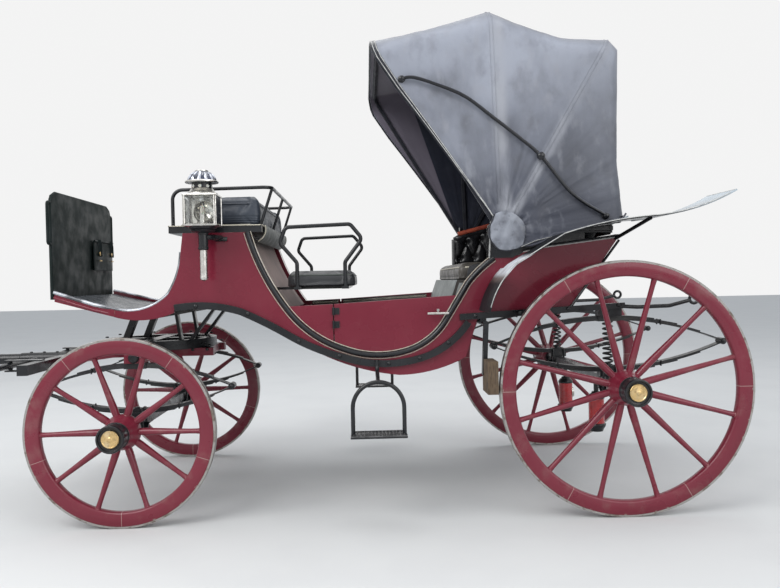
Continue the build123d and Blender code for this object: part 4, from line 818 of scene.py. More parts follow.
def welt(cushion, height, across, radius, name, finish):
    """A piped welt sewn round a cushion at one height, resting on its leather."""
    tree = BVHTree.FromObject(cushion, bpy.context.evaluated_depsgraph_get())
    box_low, box_high = across
    middle = (Vector(box_low) + Vector(box_high)) / 2
    half = (Vector(box_high) - Vector(box_low)) / 2
    loop = []
    for a in ring_of(160):
        c, s = cos(a), sin(a)
        size = (abs(c) ** 8 + abs(s) ** 8) ** (-1 / 8)
        start = Vector((middle.x + c * size * half.x * 1.3, middle.y + s * size * half.y * 1.3, height))
        aim = Vector((middle.x + c * size * half.x * 0.4, middle.y + s * size * half.y * 0.4, height)) - start
        hit, normal, _, _ = tree.ray_cast(start, aim.normalized())
        if hit is not None:
            loop.append(hit + normal * radius * 0.35)
    smooth = [(loop[k - 2] + loop[k - 1] + loop[k] + loop[(k + 1) % len(loop)] + loop[(k + 2) % len(loop)]) / 5
              for k in range(len(loop))]
    mesh = bmesh.new()
    tube(mesh, smooth, radius, 8, loop=True)
    piece(mesh, name, [finish])


BOX_LOW = (FRONT_X + 0.215, -0.468, 1.2962)
BOX_HIGH = (FRONT_X + 0.598, 0.468, 1.43)
box_cushion = stuffed("box_seat_cushion", BOX_LOW, BOX_HIGH, 0.034, 0.004, 0.012, seat_leather,
                      ["box_cushion"], seams=(1.316, 1.326, 1.336))
welt(box_cushion, 1.3005, (BOX_LOW, BOX_HIGH), 0.0042, "box_cushion_piping", cream)
welt(box_cushion, 1.396, (BOX_LOW, BOX_HIGH), 0.003, "box_cushion_welt", seat_leather)
bare(enamel, "box_rail")
mesh = bmesh.new()
for y in (-0.474, 0.474):
    for x in (FRONT_X + 0.24, FRONT_X + 0.38, FRONT_X + 0.55):
        domed_bolt(mesh, (x, y, 1.296), UP, 0.009)
for x in (FRONT_X + 0.1838, FRONT_X + 0.5982):
    tube(mesh, [(x, -0.505, 1.2935), (x, 0.505, 1.2935)], 0.0028, 8, kind=1)
for y in (-0.5112, 0.5112):
    tube(mesh, [(FRONT_X + 0.188, y, 1.2935), (FRONT_X + 0.594, y, 1.2935)], 0.0022, 8, kind=1)
piece(mesh, "box_base_piping", [enamel, cream])
fall_leather = (Finish("box_fall_leather", (0.07, 0.08, 0.072), 0.5, Sheen_Weight=0.1)
    .mottle((0.12, 0.13, 0.115), 9, 5, 0.42, 0.72, 0.8).rough(25, 4, 0.42, 0.64)
    .pebbled(420, 0.00025))
mesh = bmesh.new()
fall = arcs([(FRONT_X + 0.5995, 1.2955), (FRONT_X + 0.6015, 1.288), (FRONT_X + 0.6, 1.262), (FRONT_X + 0.585, 1.238),
             (FRONT_X + 0.566, 1.225)], 8)
strip(mesh, fall, [(0.0002, -0.44), (0.0045, -0.436), (0.0055, -0.42), (0.0055, 0.42), (0.0045, 0.436),
                   (0.0002, 0.44)])
for side in (-1, 1):
    tube(mesh, [(x + 0.004, side * 0.437, z) for x, z in fall], 0.0032, 8, kind=1)
seat_fall = piece(mesh, "box_seat_fall", [fall_leather, cream], crease=60)

# Lamps: carriage lamps of nickelled brass with bevelled panes and a silvered back, a candle on a
# spring inside, and a fluted black and silver dome that lets the heat out. Each hangs on an iron arm.
LAMP_X = FRONT_X + 0.357
LAMP_Y = 0.6
LAMP_LOW = 1.282
LAMP_SIDE = 0.146
LAMP_TALL = 0.138
LAMP_BEVEL = 0.006
# Painted reflections: dark brown clouds and pale upright streaks on the silvering.
mirror = (Finish("silvered_back", (0.66, 0.645, 0.6), 0.08, Metallic=1)
    .mottle((0.13, 0.122, 0.105), 22, 5, 0.46, 0.62, 0.9)
    .mottle((0.86, 0.86, 0.84), 31, 3, 0.58, 0.68, 0.95, stretch=(1, 1, 0.5)).rough(30, 4, 0.05, 0.2)
    .grain(26, 3, 0.004))
wax = (Finish("candle_wax", (0.78, 0.74, 0.64), 0.5, Subsurface_Weight=0.2)
    .mottle((0.66, 0.6, 0.48), 60, 4, 0.45, 0.75, 0.7).rough(50, 3, 0.35, 0.6)
    .grain(90, 3, 0.0003))
pane = (Finish("bevelled_pane", (0.97, 0.985, 0.98), 0.015, Transmission_Weight=1, IOR=1.46)
    .rough(20, 4, 0, 0.04).grain(14, 2, 0.0004))


def bevelled_ring(half, bevel):
    """The plan of a square lamp with its corners cut, as eight points about its middle."""
    b = bevel * half / (LAMP_SIDE / 2)
    return [(half, -half + b), (half, half - b), (half - b, half), (-half + b, half), (-half, half - b),
            (-half, -half + b), (-half + b, -half), (half - b, -half)]


def lamp_tier(mesh, middle, tiers):
    """Stacks eight sided rings, each given as its half width and height, into one closed form."""
    rings = [[mesh.verts.new((middle[0] + x, middle[1] + y, z)) for x, y in bevelled_ring(half, LAMP_BEVEL)]
             for half, z in tiers]
    skin(mesh, rings, caps=True)


def fluted(mesh, middle, tiers, ribs, depth, kind=0):
    """A turned dome whose rings wave in and out in flutes."""
    rings = []
    for r, z, share in tiers:
        ring = []
        for a in ring_of(ribs * 6):
            away = r - depth * share * (0.5 - 0.5 * cos(ribs * a))
            ring.append(mesh.verts.new((middle[0] + away * cos(a), middle[1] + away * sin(a), z)))
        rings.append(ring)
    skin(mesh, rings, caps=True, kind=kind)


def folded_plate(mesh, face, behind, low, high, kind):
    """An upright plate bent to the plan of one line of points, with its back on another."""
    rows = [[mesh.verts.new((x, y, z)) for x, y in line] for line, z in ((face, low), (face, high), (behind, high),
                                                                         (behind, low))]
    skin(mesh, rows + rows[:1], closed=False, kind=kind)
    for end in (0, -1):
        mesh.faces.new([row[end] for row in rows]).material_index = kind


def bevelled_plate(mesh, middle, across, out, wide, tall):
    """A pane of plate glass with a ground bevel round its outer face."""
    rings = []
    for inset, step in ((0, -0.0018), (0, 0), (0.011, 0.0018)):
        w, t = wide / 2 - inset, tall / 2 - inset
        rings.append([mesh.verts.new(middle + across * u * w + Vector((0, 0, v * t)) + out * step)
                      for u, v in ((-1, -1), (1, -1), (1, 1), (-1, 1))])
    skin(mesh, rings, caps=True)


SILVERED, PALE, BLACK, DOME = 1, 2, 3, 4  # the lamp's finishes after its nickel
mesh = bmesh.new()
panes = bmesh.new()
half = LAMP_SIDE / 2
top = LAMP_LOW + LAMP_TALL
for side in (-1, 1):
    middle = (LAMP_X, side * LAMP_Y)
    outward, forward = Vector((0, side, 0)), Vector((-1, 0, 0))
    centre = Vector((*middle, LAMP_LOW + LAMP_TALL / 2))
    bevelled_plate(panes, centre + outward * (half - 0.005), forward, outward, LAMP_SIDE - 0.017, LAMP_TALL - 0.021)
    bevelled_plate(panes, centre + forward * (half - 0.005), outward, forward, LAMP_SIDE - 0.017, LAMP_TALL - 0.021)
    lamp_tier(mesh, middle, [(half - 0.012, LAMP_LOW - 0.001), (half - 0.001, LAMP_LOW + 0.001),
                             (half, LAMP_LOW + 0.003), (half, LAMP_LOW + 0.008), (half - 0.003, LAMP_LOW + 0.01)])
    lamp_tier(mesh, middle, [(half - 0.003, top - 0.01), (half, top - 0.008), (half, top - 0.003),
                             (half - 0.002, top), (half - 0.008, top + 0.001)])
    for x, y in bevelled_ring(half - 0.0045, LAMP_BEVEL):
        tube(mesh, [(middle[0] + x, middle[1] + y, LAMP_LOW + 0.006), (middle[0] + x, middle[1] + y, top - 0.006)],
             0.0034, 8)
    # The back and the side towards the body are black plates, silvered within
    inner = middle[1] - side * (half - 0.01)
    plans = []
    for gap in (0, -0.0012, -0.003, -0.006):
        plans.append([(middle[0] - 0.062, inner + side * gap), (middle[0] + 0.048, inner + side * gap),
                      (middle[0] + 0.063 - gap, inner + side * (0.015 + gap)),
                      (middle[0] + 0.063 - gap, inner + side * (LAMP_SIDE - 0.02))])
    folded_plate(mesh, plans[0], plans[1], LAMP_LOW + 0.0105, top - 0.0105, SILVERED)
    folded_plate(mesh, plans[2], plans[3], LAMP_LOW + 0.0075, top - 0.0075, BLACK)
    bowl = [(AXIS, 0.002), (0.015, 0.004), (0.03, 0.01), (0.04, 0.018), (0.045, 0.027), (0.0465, 0.027),
            (0.042, 0.016), (0.031, 0.007), (AXIS, -0.001)]
    turned(mesh, bowl, (middle[0], inner, LAMP_LOW + 0.068), (0, side, 0), 36, kind=SILVERED)
    turned(mesh, [(AXIS, 0), (0.02, 0), (0.02, 0.004), (0.0135, 0.008), (0.0135, 0.04), (0.015, 0.042),
                  (0.015, 0.046), (0.011, 0.048)], (*middle, LAMP_LOW + 0.01), UP, 24)
    turned(mesh, [(AXIS, 0.047), (0.0105, 0.047), (0.0105, 0.078), (0.0088, 0.0815), (0.004, 0.083), (0.001, 0.084),
                  (0.001, 0.092), (AXIS, 0.092)], (*middle, LAMP_LOW + 0.01), UP, 20, kind=PALE)
    # Under the body: a turned cup, a black stem and the pale tube that holds the candle's spring
    turned(mesh, [(AXIS, 0.001), (0.06, 0.001), (0.0605, -0.004), (0.058, -0.008), (0.05, -0.012), (0.054, -0.016),
                  (0.048, -0.022), (0.03, -0.026), (0.0225, -0.03), (0.0225, -0.034)], (*middle, LAMP_LOW), UP, 36,
                  kind=BLACK)
    turned(mesh, [(0.0225, -0.034), (0.0205, -0.036), (0.0205, -0.088), (0.0228, -0.09), (0.0228, -0.098),
                  (0.0185, -0.101)], (*middle, LAMP_LOW), UP, 28, kind=BLACK)
    turned(mesh, [(0.0185, -0.101), (0.0168, -0.103), (0.0168, -0.216), (0.0182, -0.218), (0.0182, -0.224),
                  (0.015, -0.23), (0.007, -0.234), (AXIS, -0.236)], (*middle, LAMP_LOW), UP, 28)
    # Above it: a nickel shoulder, a black neck with pale buttons round it, a fluted dome and a flat cap
    turned(mesh, [(AXIS, 0), (0.0655, 0), (0.067, 0.003), (0.0655, 0.006), (0.06, 0.008), (0.0505, 0.02),
                  (0.0475, 0.0245), (0.0455, 0.027)], (*middle, top), UP, 40)
    turned(mesh, [(0.0455, 0.027), (0.0435, 0.029), (0.0435, 0.048), (0.0455, 0.05), (AXIS, 0.05)], (*middle, top),
           UP, 40, kind=BLACK)
    for k in range(8):
        a = pi / 4 * k
        out = Vector((cos(a), sin(a), 0))
        turned(mesh, [(0.0072, 0), (0.0072, 0.001), (AXIS, 0.001)], Vector((*middle, top + 0.035)) + out * 0.043, out,
               12, kind=PALE)
    turned(mesh, [(0.044, 0.0495), (0.07, 0.051), (0.0718, 0.0535), (0.0718, 0.057), (0.07, 0.059), (0.066, 0.06)],
           (*middle, top), UP, 48)
    fluted(mesh, middle, [(0.064, top + 0.0585, 0), (0.064, top + 0.062, 0.3), (0.061, top + 0.072, 0.9),
                          (0.052, top + 0.085, 1), (0.039, top + 0.096, 0.8), (0.027, top + 0.1005, 0)], 12, 0.012,
                          kind=DOME)
    turned(mesh, [(0.027, 0.0995), (0.029, 0.101), (0.029, 0.104), (0.026, 0.106), (0.011, 0.1072), (AXIS, 0.1075)],
           (*middle, top), UP, 32)
    # The arm that carries it from the body's side
    arm = [(LAMP_X + 0.01, side * LAMP_Y, LAMP_LOW - 0.045), (LAMP_X + 0.03, side * 0.585, LAMP_LOW - 0.045),
           (LAMP_X + 0.045, side * 0.545, LAMP_LOW - 0.045), (LAMP_X + 0.06, side * 0.512, LAMP_LOW - 0.045)]
    tube(mesh, arm, 0.0125, 10, kind=BLACK)
    tube(mesh, [(LAMP_X + 0.035, side * 0.5115, LAMP_LOW - 0.045), (LAMP_X + 0.088, side * 0.5115, LAMP_LOW - 0.045)],
         0.022, 12, kind=BLACK, flatten=0.12)
dome = Finish("tarnished_dome", (0.52, 0.55, 0.62), 0.24, Metallic=1)
place = dome.axes()
off_axis = dome.sum("SUBTRACT", dome.sum("ABSOLUTE", place[1]), LAMP_Y)
flute = dome.sum("ARCTAN2", off_axis, dome.sum("SUBTRACT", place[0], LAMP_X))
flute = dome.sum("COSINE", dome.times(flute, 12))
dome.tint(dome.share(flute, 0.35, -0.25, 0, 0.96), (0.016, 0.02, 0.04))
dome_edge_wear_and_highlight = dome.edge(0.006)
dome.mottle((0.085, 0.09, 0.105), 28, 5, 0.45, 0.62, 0.9)
# The dome's edges turn pale blue white: partly worn bright, partly a painted highlight.
dome.tint(dome.times(dome_edge_wear_and_highlight, 0.8), (0.8, 0.82, 0.86))
dome.rough(40, 4, 0.16, 0.42).grain(200, 3, 0.00006)
piece(mesh, "carriage_lamps", [nickel, mirror, wax, enamel, dome], ["lamps"], crease=34)
piece(panes, "carriage_lamp_panes", [pane], ["lamp_glass"], crease=10)

# Child seat: a small leather bolster stuffed with hair, on a folding iron frame behind the box, with
# a bent rail clamped over each end.
bare(enamel, "child_seat_frame")
child_leather = (Finish("child_seat_leather", (0.028, 0.029, 0.032), 0.4, coat=(0.2, 0.3))
    .mottle((0.065, 0.065, 0.068), 8, 5, 0.45, 0.72, 0.75).rough(22, 4, 0.3, 0.55)
    .pebbled(400, 0.0003).grain(24, 4, 0.0008))
CHILD_LOW = (FRONT_X + 0.677, -0.44, 1.012)
CHILD_HIGH = (FRONT_X + 1.027, 0.44, 1.085)
child_pad = stuffed("child_seat_pad", CHILD_LOW, CHILD_HIGH, 0.055, 0.003, 0.012, child_leather,
                    ["child_seat"], reach=0.01)
welt(child_pad, 1.064, (CHILD_LOW, CHILD_HIGH), 0.0032, "child_seat_welt", fall_leather)

# Rear seat: a deep cushion of brown grey leather with a pale welt along its front edge, on a box of
# boards that leans forwards, behind a fall of pale grey green leather. A black leather is nailed over
# each of its corners.
brown_leather = (Finish("rear_seat_leather", (0.062, 0.055, 0.048), 0.45, coat=(0.12, 0.35))
    .mottle((0.105, 0.095, 0.082), 6, 5, 0.42, 0.72, 0.8)
    .mottle((0.2, 0.19, 0.17), 40, 5, 0.64, 0.8, 0.5).rough(18, 4, 0.34, 0.6).pebbled(360, 0.0003)
    .grain(20, 4, 0.001))
REAR_LOW = (REAR_X - 0.7, -0.479, 1.03)
REAR_HIGH = (REAR_X - 0.184, 0.479, 1.11)
rear_pad = stuffed("rear_seat_pad", REAR_LOW, REAR_HIGH, 0.024, 0.003, 0.014, brown_leather,
                   ["rear_cushion"], voxel=0.0072, reach=0.01)
welt(rear_pad, 1.086, (REAR_LOW, REAR_HIGH), 0.0034, "rear_seat_welt", cream)
boards = [(-0.6945, 1.03), (-0.7235, 0.943), (-0.745, 0.786), (-0.733, 0.786), (-0.711, 0.941), (-0.686, 1.016),
          (-0.13, 1.016), (-0.13, 1.03)]
mesh = bmesh.new()
ends = [[mesh.verts.new((REAR_X + x, y, z)) for x, z in boards] for y in (-0.488, 0.488)]
skin(mesh, ends, caps=True)
piece(mesh, "rear_seat_boards", [floor_boards], ["rear_seat_box"])
mesh = bmesh.new()
plan = [(-0.604, -0.4865), (-0.64, -0.4865), (-0.668, -0.4865), (-0.684, -0.486), (-0.694, -0.483),
        (-0.6985, -0.4755)]
plan += [(-0.699, -0.466 + 0.932 * k / 60) for k in range(61)]
plan += [(x, -y) for x, y in plan[5::-1]]
rows = []
for j in range(31):
    z = 1.0295 - 0.2435 * j / 30
    slant = (1.03 - z) / 3 if z > 0.943 else 0.029 + (0.943 - z) / 7.3
    row = []
    for k, (x, y) in enumerate(plan):
        front = max(0, min(1, (-0.682 - x) / 0.017))
        wave = 0.002 * sin(j / 30 * 3) * cos(k * 0.55)
        row.append(mesh.verts.new((REAR_X + x - slant - front * wave, y, z)))
    rows.append(row)
skin(mesh, rows, closed=False)
pale_fall = (Finish("pale_fall_leather", (0.185, 0.2, 0.195), 0.5, Sheen_Weight=0.1)
    .mottle((0.255, 0.275, 0.27), 8, 5, 0.42, 0.72, 0.8)
    .mottle((0.115, 0.125, 0.12), 46, 5, 0.6, 0.78, 0.5).rough(25, 4, 0.42, 0.64)
    .pebbled(420, 0.00025))
seat_fall = piece(mesh, "rear_seat_fall", [pale_fall])
settled(seat_fall, "SOLIDIFY", thickness=0.0025, offset=0)
corner_leather = (Finish("seat_corner_leather", (0.0115, 0.012, 0.014), 0.32, coat=(0.35, 0.18))
    .mottle((0.026, 0.027, 0.031), 9, 5, 0.45, 0.72, 0.7).rough(24, 4, 0.24, 0.46)
    .pebbled(420, 0.0002).grain(22, 4, 0.0008))
mesh = bmesh.new()
corner_piece = [(-0.657, 1.006), (-0.65, 1.052), (-0.641, 1.088), (-0.628, 1.096), (-0.56, 1.106), (-0.528, 1.122)]
corner_piece += [(x - REAR_X, z) for x, z in bead_path[::-2] if REAR_X - 0.652 < x < REAR_X - 0.53]
for side in (-1, 1):
    ends = [[mesh.verts.new((REAR_X + x, side * y, z)) for x, z in corner_piece] for y in (0.48, 0.493)]
    skin(mesh, ends)
    for end in ends:
        mesh.faces.new(end)
bmesh.ops.bevel(mesh, geom=mesh.edges[:], offset=0.003, segments=2, affect="EDGES")
piece(mesh, "rear_seat_corner_leathers", [corner_leather], crease=60)

# Rear squab: black patent leather tufted with covered buttons round the back and both ends of the
# seat, under a stuffed roll, and finished along the top with a burgundy leather band.
squab_leather = (Finish("squab_leather", (0.01, 0.0102, 0.012), 0.26, coat=(0.3, 0.12))
    .mottle((0.032, 0.031, 0.033), 9, 5, 0.45, 0.72, 0.7).rough(24, 4, 0.18, 0.4)
    .pebbled(440, 0.00018).grain(30, 3, 0.0006))
red_leather = (Finish("red_band_leather", (0.42, 0.085, 0.045), 0.42, Coat_Weight=0.15)
    .mottle((0.22, 0.04, 0.03), 20, 5, 0.42, 0.7, 0.8).rough(30, 4, 0.32, 0.55)
    .pebbled(420, 0.0002))


def tufted(mesh, corner, across, up, out, pitch, thick, buttons_up):
    """A padded panel whose face is drawn in at staggered buttons, with folds running between them."""
    corner, across, up, out = Vector(corner), Vector(across), Vector(up), Vector(out).normalized()
    wide, tall = across.length, up.length
    count = max(2, round(wide / pitch))
    step = wide / count
    rise = tall / buttons_up
    buttons = []
    for row in range(buttons_up):
        for k in range(count + 1):
            x = (k + (0.5 if row % 2 == 0 else 0)) * step
            if 0.02 < x < wide - 0.02:
                buttons.append((x, (row + 0.5) * rise))
    folds = []
    for i, (ax, az) in enumerate(buttons):
        for bx, bz in buttons[i + 1:]:
            if abs(bz - az) > 0.01 and hypot(bx - ax, bz - az) < 1.15 * hypot(step / 2, rise):
                folds.append(((ax, az), (bx, bz)))
        if az < rise or az > tall - rise:
            folds.append(((ax, az), (ax, 0 if az < rise else tall)))
    cols, lines = max(12, int(wide / 0.007)), max(12, int(tall / 0.007))
    grid = []
    for j in range(lines + 1):
        row = []
        z = tall * j / lines
        for i in range(cols + 1):
            x = wide * i / cols
            rim = min(x, wide - x, z, tall - z)
            swell = sqrt(max(0, 1 - (1 - min(1, rim / 0.03)) ** 2))
            pit = sum(exp(-((x - bx) ** 2 + (z - bz) ** 2) / 0.016 ** 2) for bx, bz in buttons)
            crease = 0
            for (ax, az), (bx, bz) in folds:
                lx, lz = bx - ax, bz - az
                t = min(1, max(0, ((x - ax) * lx + (z - az) * lz) / (lx * lx + lz * lz)))
                gap = hypot(x - ax - t * lx, z - az - t * lz)
                crease = max(crease, exp(-(gap / 0.0075) ** 2))
            depth = thick * swell * (1 - 0.52 * min(1, pit)) - 0.26 * thick * crease * swell * (1 - min(1, pit))
            row.append(mesh.verts.new(corner + across * (i / cols) + up * (j / lines) + out * max(0.0005, depth)))
        grid.append(row)
    skin(mesh, grid, closed=False)
    back = [mesh.verts.new(corner + across * u + up * v - out * 0.002) for u, v in ((0, 0), (1, 0), (1, 1), (0, 1))]
    sides = [grid[0], [row[-1] for row in grid], grid[-1][::-1], [row[0] for row in grid][::-1]]
    for k, line in enumerate(sides):
        a, b = back[k], back[(k + 1) % 4]
        for p, q in zip(line, line[1:]):
            mesh.faces.new((p, q, a))
        mesh.faces.new((line[-1], b, a))
    mesh.faces.new(back[::-1])
    for bx, bz in buttons:
        seat = corner + across * (bx / wide) + up * (bz / tall) + out * (thick * 0.46)
        domed_bolt(mesh, seat, out, 0.0095)


SQUAB_LOW = 1.1115
SQUAB_FRONT = {-1: REAR_X - 0.556, 1: REAR_X - 0.604}


def squab_top(x, side):
    """The height of the squab's top at x: each end rises from the front and is level further back."""
    return 1.262 + 0.054 * min(1, max(0, (x - SQUAB_FRONT[side]) / 0.215))


mesh = bmesh.new()
tall = 1.316 - SQUAB_LOW
tufted(mesh, (REAR_X - 0.12, -0.485, SQUAB_LOW), (0, 0.97, 0), (0.108, 0, tall), (-1, 0, 0.53), 0.11, 0.052, 2)
for side in (-1, 1):
    first = len(mesh.verts)
    front_x = SQUAB_FRONT[side]
    tufted(mesh, (front_x, side * 0.487, SQUAB_LOW), (REAR_X - 0.108 - front_x, 0, 0), (0, 0, tall), (0, -side, 0),
           0.085, 0.046, 2)
    mesh.verts.ensure_lookup_table()
    for vertex in list(mesh.verts)[first:]:
        share = (squab_top(vertex.co.x, side) - SQUAB_LOW) / tall
        vertex.co.z = SQUAB_LOW + (vertex.co.z - SQUAB_LOW) * share
squab_body = piece(mesh, "rear_squab_tufts", [squab_leather], ["rear_squab"], crease=75)
fine = []
for side in (-1, 1):
    line = []
    for k in range(22):
        x = SQUAB_FRONT[side] + 0.01 + (REAR_X - 0.075 - SQUAB_FRONT[side] - 0.01) * k / 21
        line.append(Vector((x, side * 0.47, squab_top(x, side) - 0.002)))
    for k in range(1, 7):
        a = pi / 2 * k / 6
        line.append(Vector((REAR_X - 0.075 + 0.06 * sin(a), side * (0.41 + 0.06 * cos(a)), 1.314)))
    line += [Vector((REAR_X - 0.015, side * (0.41 - 0.041 * k), 1.314)) for k in range(1, 11 if side < 0 else 10)]
    fine += line if side < 0 else line[::-1]
mesh = bmesh.new()
girth = [0.0205 * sqrt(1 - (1 - min(1, (min(k, len(fine) - 1 - k) + 0.3) / 1.6)) ** 2) + 0.001 * sin(k * 1.7)
         for k in range(len(fine))]
tube(mesh, fine, girth, 16)
roll_piece = piece(mesh, "rear_squab_roll", [squab_leather], crease=75)
mesh = bmesh.new()
for plan, z_low, z_high in (
        ([(REAR_X - 0.52, 0.486), (REAR_X + 0.02, 0.486), (REAR_X + 0.02, 0.509), (REAR_X - 0.515, 0.509)], 1.233,
         1.27),
        ([(REAR_X - 0.52, -0.486), (REAR_X + 0.02, -0.486), (REAR_X + 0.02, -0.509), (REAR_X - 0.515, -0.509)], 1.233,
         1.27),
        ([(REAR_X - 0.022, -0.485), (REAR_X + 0.024, -0.485), (REAR_X + 0.024, 0.485), (REAR_X - 0.022, 0.485)],
         1.223, 1.304)):
    rows = [[mesh.verts.new((x, y, z)) for x, y in plan] for z in (z_low, z_high)]
    skin(mesh, rows)
    for row in rows:
        mesh.faces.new(row)
bmesh.ops.bevel(mesh, geom=mesh.edges[:], offset=0.008, segments=3, affect="EDGES")
piece(mesh, "rear_squab_ledge", [squab_leather], crease=60)
mesh = bmesh.new()
tube(mesh, [p + Vector((0, -copysign(0.008, p.y) * (abs(p.y) > 0.44), 0.0225)) for p in fine[1:-1]], 0.014, 12)
piece(mesh, "rear_squab_band", [red_leather])

# Rear wings: patent leather stretched on an iron frame over each rear wheel, gloss black with a white
# welt along the outer edge. Its steep front carries a pale painted reflection with a brown fringe below it,
# partly dust and partly painted, and its turned up tail a painted pale blue sky reflection.
patent = Finish("patent_leather", (0.008, 0.0088, 0.0105), 0.16)
patent.shader.inputs["Specular IOR Level"].default_value = 0.16
patent_worn = patent.edge(0.0015)
patent.mottle((0.022, 0.023, 0.027), 5, 5, 0.45, 0.75, 0.6)
patent.tint(patent.times(patent_worn, 0.35), (0.12, 0.12, 0.12))
behind, _, height = patent.axes()
# Brown band low on the front: partly dust, partly the dark fringe of the painted reflection above it.
dust_and_reflection_fringe = patent.times(patent.share(height, 1.005, 1.035), patent.share(height, 1.125, 1.085))
patent.tint(patent.times(dust_and_reflection_fringe, patent.share(patent.noise(12, 5), 0.3, 0.6, 0.5, 0.9)), (0.15, 0.115, 0.105))
# Painted reflection: a pale band across the front of the wing.
painted_reflection_band = patent.times(patent.share(height, 1.03, 1.062), patent.share(height, 1.14, 1.112))
patent.tint(patent.times(painted_reflection_band, patent.share(patent.noise(16, 5, (1, 1, 0.3)), 0.25, 0.55, 0.45, 0.92)),
            (0.66, 0.68, 0.72))
# Painted sky reflection: pale blue over the turned up tail.
tail = patent.times(patent.share(behind, REAR_X + 0.1, REAR_X + 0.42),
                    patent.share(patent.noise(5, 4), 0.2, 0.6, 0.55, 0.95))
patent.tint(tail, (0.46, 0.53, 0.585))
dull = patent.share(behind, REAR_X - 0.12, REAR_X - 0.36, 0, 0.34)
patent.tree.links.new(patent.sum("ADD", dull, patent.share(patent.noise(20, 4), 0.3, 0.7, 0.14, 0.28)),
                      patent.shader.inputs["Roughness"])
patent.grain(9, 3, 0.001)
bare(patent, "rear_wings")
WING_UPS = [(-0.598, 0.89), (-0.552, 1.005), (-0.482, 1.091), (-0.4, 1.14), (-0.278, 1.212), (-0.108, 1.255),
            (0.08, 1.28), (0.25, 1.305), (0.45, 1.384)]
white_welt = (Finish("white_welt", (0.52, 0.52, 0.5), 0.42)
    .mottle((0.3, 0.3, 0.3), 45, 5, 0.42, 0.68, 0.85).rough(50, 3, 0.34, 0.58)
    .grain(300, 2, 0.0001))
wing_path = arcs([(REAR_X + x, z) for x, z in WING_UPS], 12)
mesh = bmesh.new()
for side in (-1, 1):
    tube(mesh, [(x, side * 0.7892, z + 0.0026) for x, z in wing_path[1:-1]], 0.0021, 8)
    x, z = wing_path[-1]
    tube(mesh, [(x - 0.0015, side * y, z + 0.001) for y in (0.514, 0.7, 0.786)], 0.003, 8)
piece(mesh, "wing_welts", [white_welt])

# Hood: one hide of worn black leather sewn from panels, drawn over three bows that fan out from a
# hinge on each side. It hollows a little between the bows and creases towards the hinge.
HINGE_X = REAR_X - 0.51
HINGE_Z = 1.236
HOOD_HALF = 0.585
FAN = [  # the tops of the sections as x from the hinge, height above it, and corner radius
    (-0.62, 0.858, 0.11), (-0.029, 1, 0.11), (0.301, 0.887, 0.11), (0.52, 0.867, 0.11),
    (0.56, 0.826, 0.11), (0.546, 0.324, 0.07), (0.568, 0.054, 0.07),
]
BOW_TURNS = (124, 91.7, 59.6, 5.4)
SEAM_TURNS = BOW_TURNS[1:3]
FRONT_EDGE = [(0, 108), (0.088, 115.7), (0.176, 120.3), (0.323, 122.8), (0.471, 123.65), (0.602, 124.2),
              (0.772, 124.8), (0.955, 124.6), (1.045, 122.6), (1.2, 121)]
REAR_EDGE = [(0, -35), (0.109, -35), (0.23, -3.8), (0.35, 1.5), (0.488, 4.8), (0.57, 5.4), (1.2, 5.4)]


def along_table(table, value):
    """Reads a value from a table of (at, value), straight between its rows."""
    for (a, low), (b, high) in zip(table, table[1:]):
        if value <= b:
            return low + (high - low) * max(0, (value - a) / (b - a))
    return table[-1][1]


def hood_top(turn):
    """How far the roof is from the hinge line along a ray, and the radius of its corners."""
    for (ax, az, ac), (bx, bz, bc) in zip(FAN, FAN[1:]):
        if turn >= degrees(atan2(bz, bx)) or (bx, bz, bc) == FAN[-1]:
            c, s = cos(radians(turn)), sin(radians(turn))
            wide, tall = bx - ax, bz - az
            share = (ax * s - az * c) / (tall * c - wide * s)
            share = min(1, max(0, share))
            return hypot(ax + wide * share, az + tall * share), ac + (bc - ac) * share


def bow_share(turn):
    """0 on a bow and 1 half way between two, with the number of the panel."""
    for panel, (a, b) in enumerate(zip(BOW_TURNS, BOW_TURNS[1:])):
        if turn >= b:
            f = min(1, max(0, (a - turn) / (a - b)))
            return 4 * f * (1 - f), panel
    return 0, len(BOW_TURNS) - 2


SIDE_STEPS, CORNER_STEPS, TOP_STEPS, FAN_STEPS = 54, 8, 40, 160
WHOLE_STEPS = 2 * SIDE_STEPS + 2 * CORNER_STEPS + TOP_STEPS


def hood_station(turn, j, inset):
    """Where the sheet is on one ray: its distance from the hinge line and from the middle, and the roof's."""
    reach, corner = hood_top(turn)
    reach -= inset
    bend, half = corner - inset, HOOD_HALF - inset
    if j <= SIDE_STEPS:
        return 0.05 + (reach - bend - 0.05) * j / SIDE_STEPS, half, reach
    if j <= SIDE_STEPS + CORNER_STEPS:
        a = (j - SIDE_STEPS) / CORNER_STEPS * pi / 2
        return reach - bend + bend * sin(a), half - bend + bend * cos(a), reach
    return reach, (half - bend) * (1 - (j - SIDE_STEPS - CORNER_STEPS) / (TOP_STEPS / 2)), reach


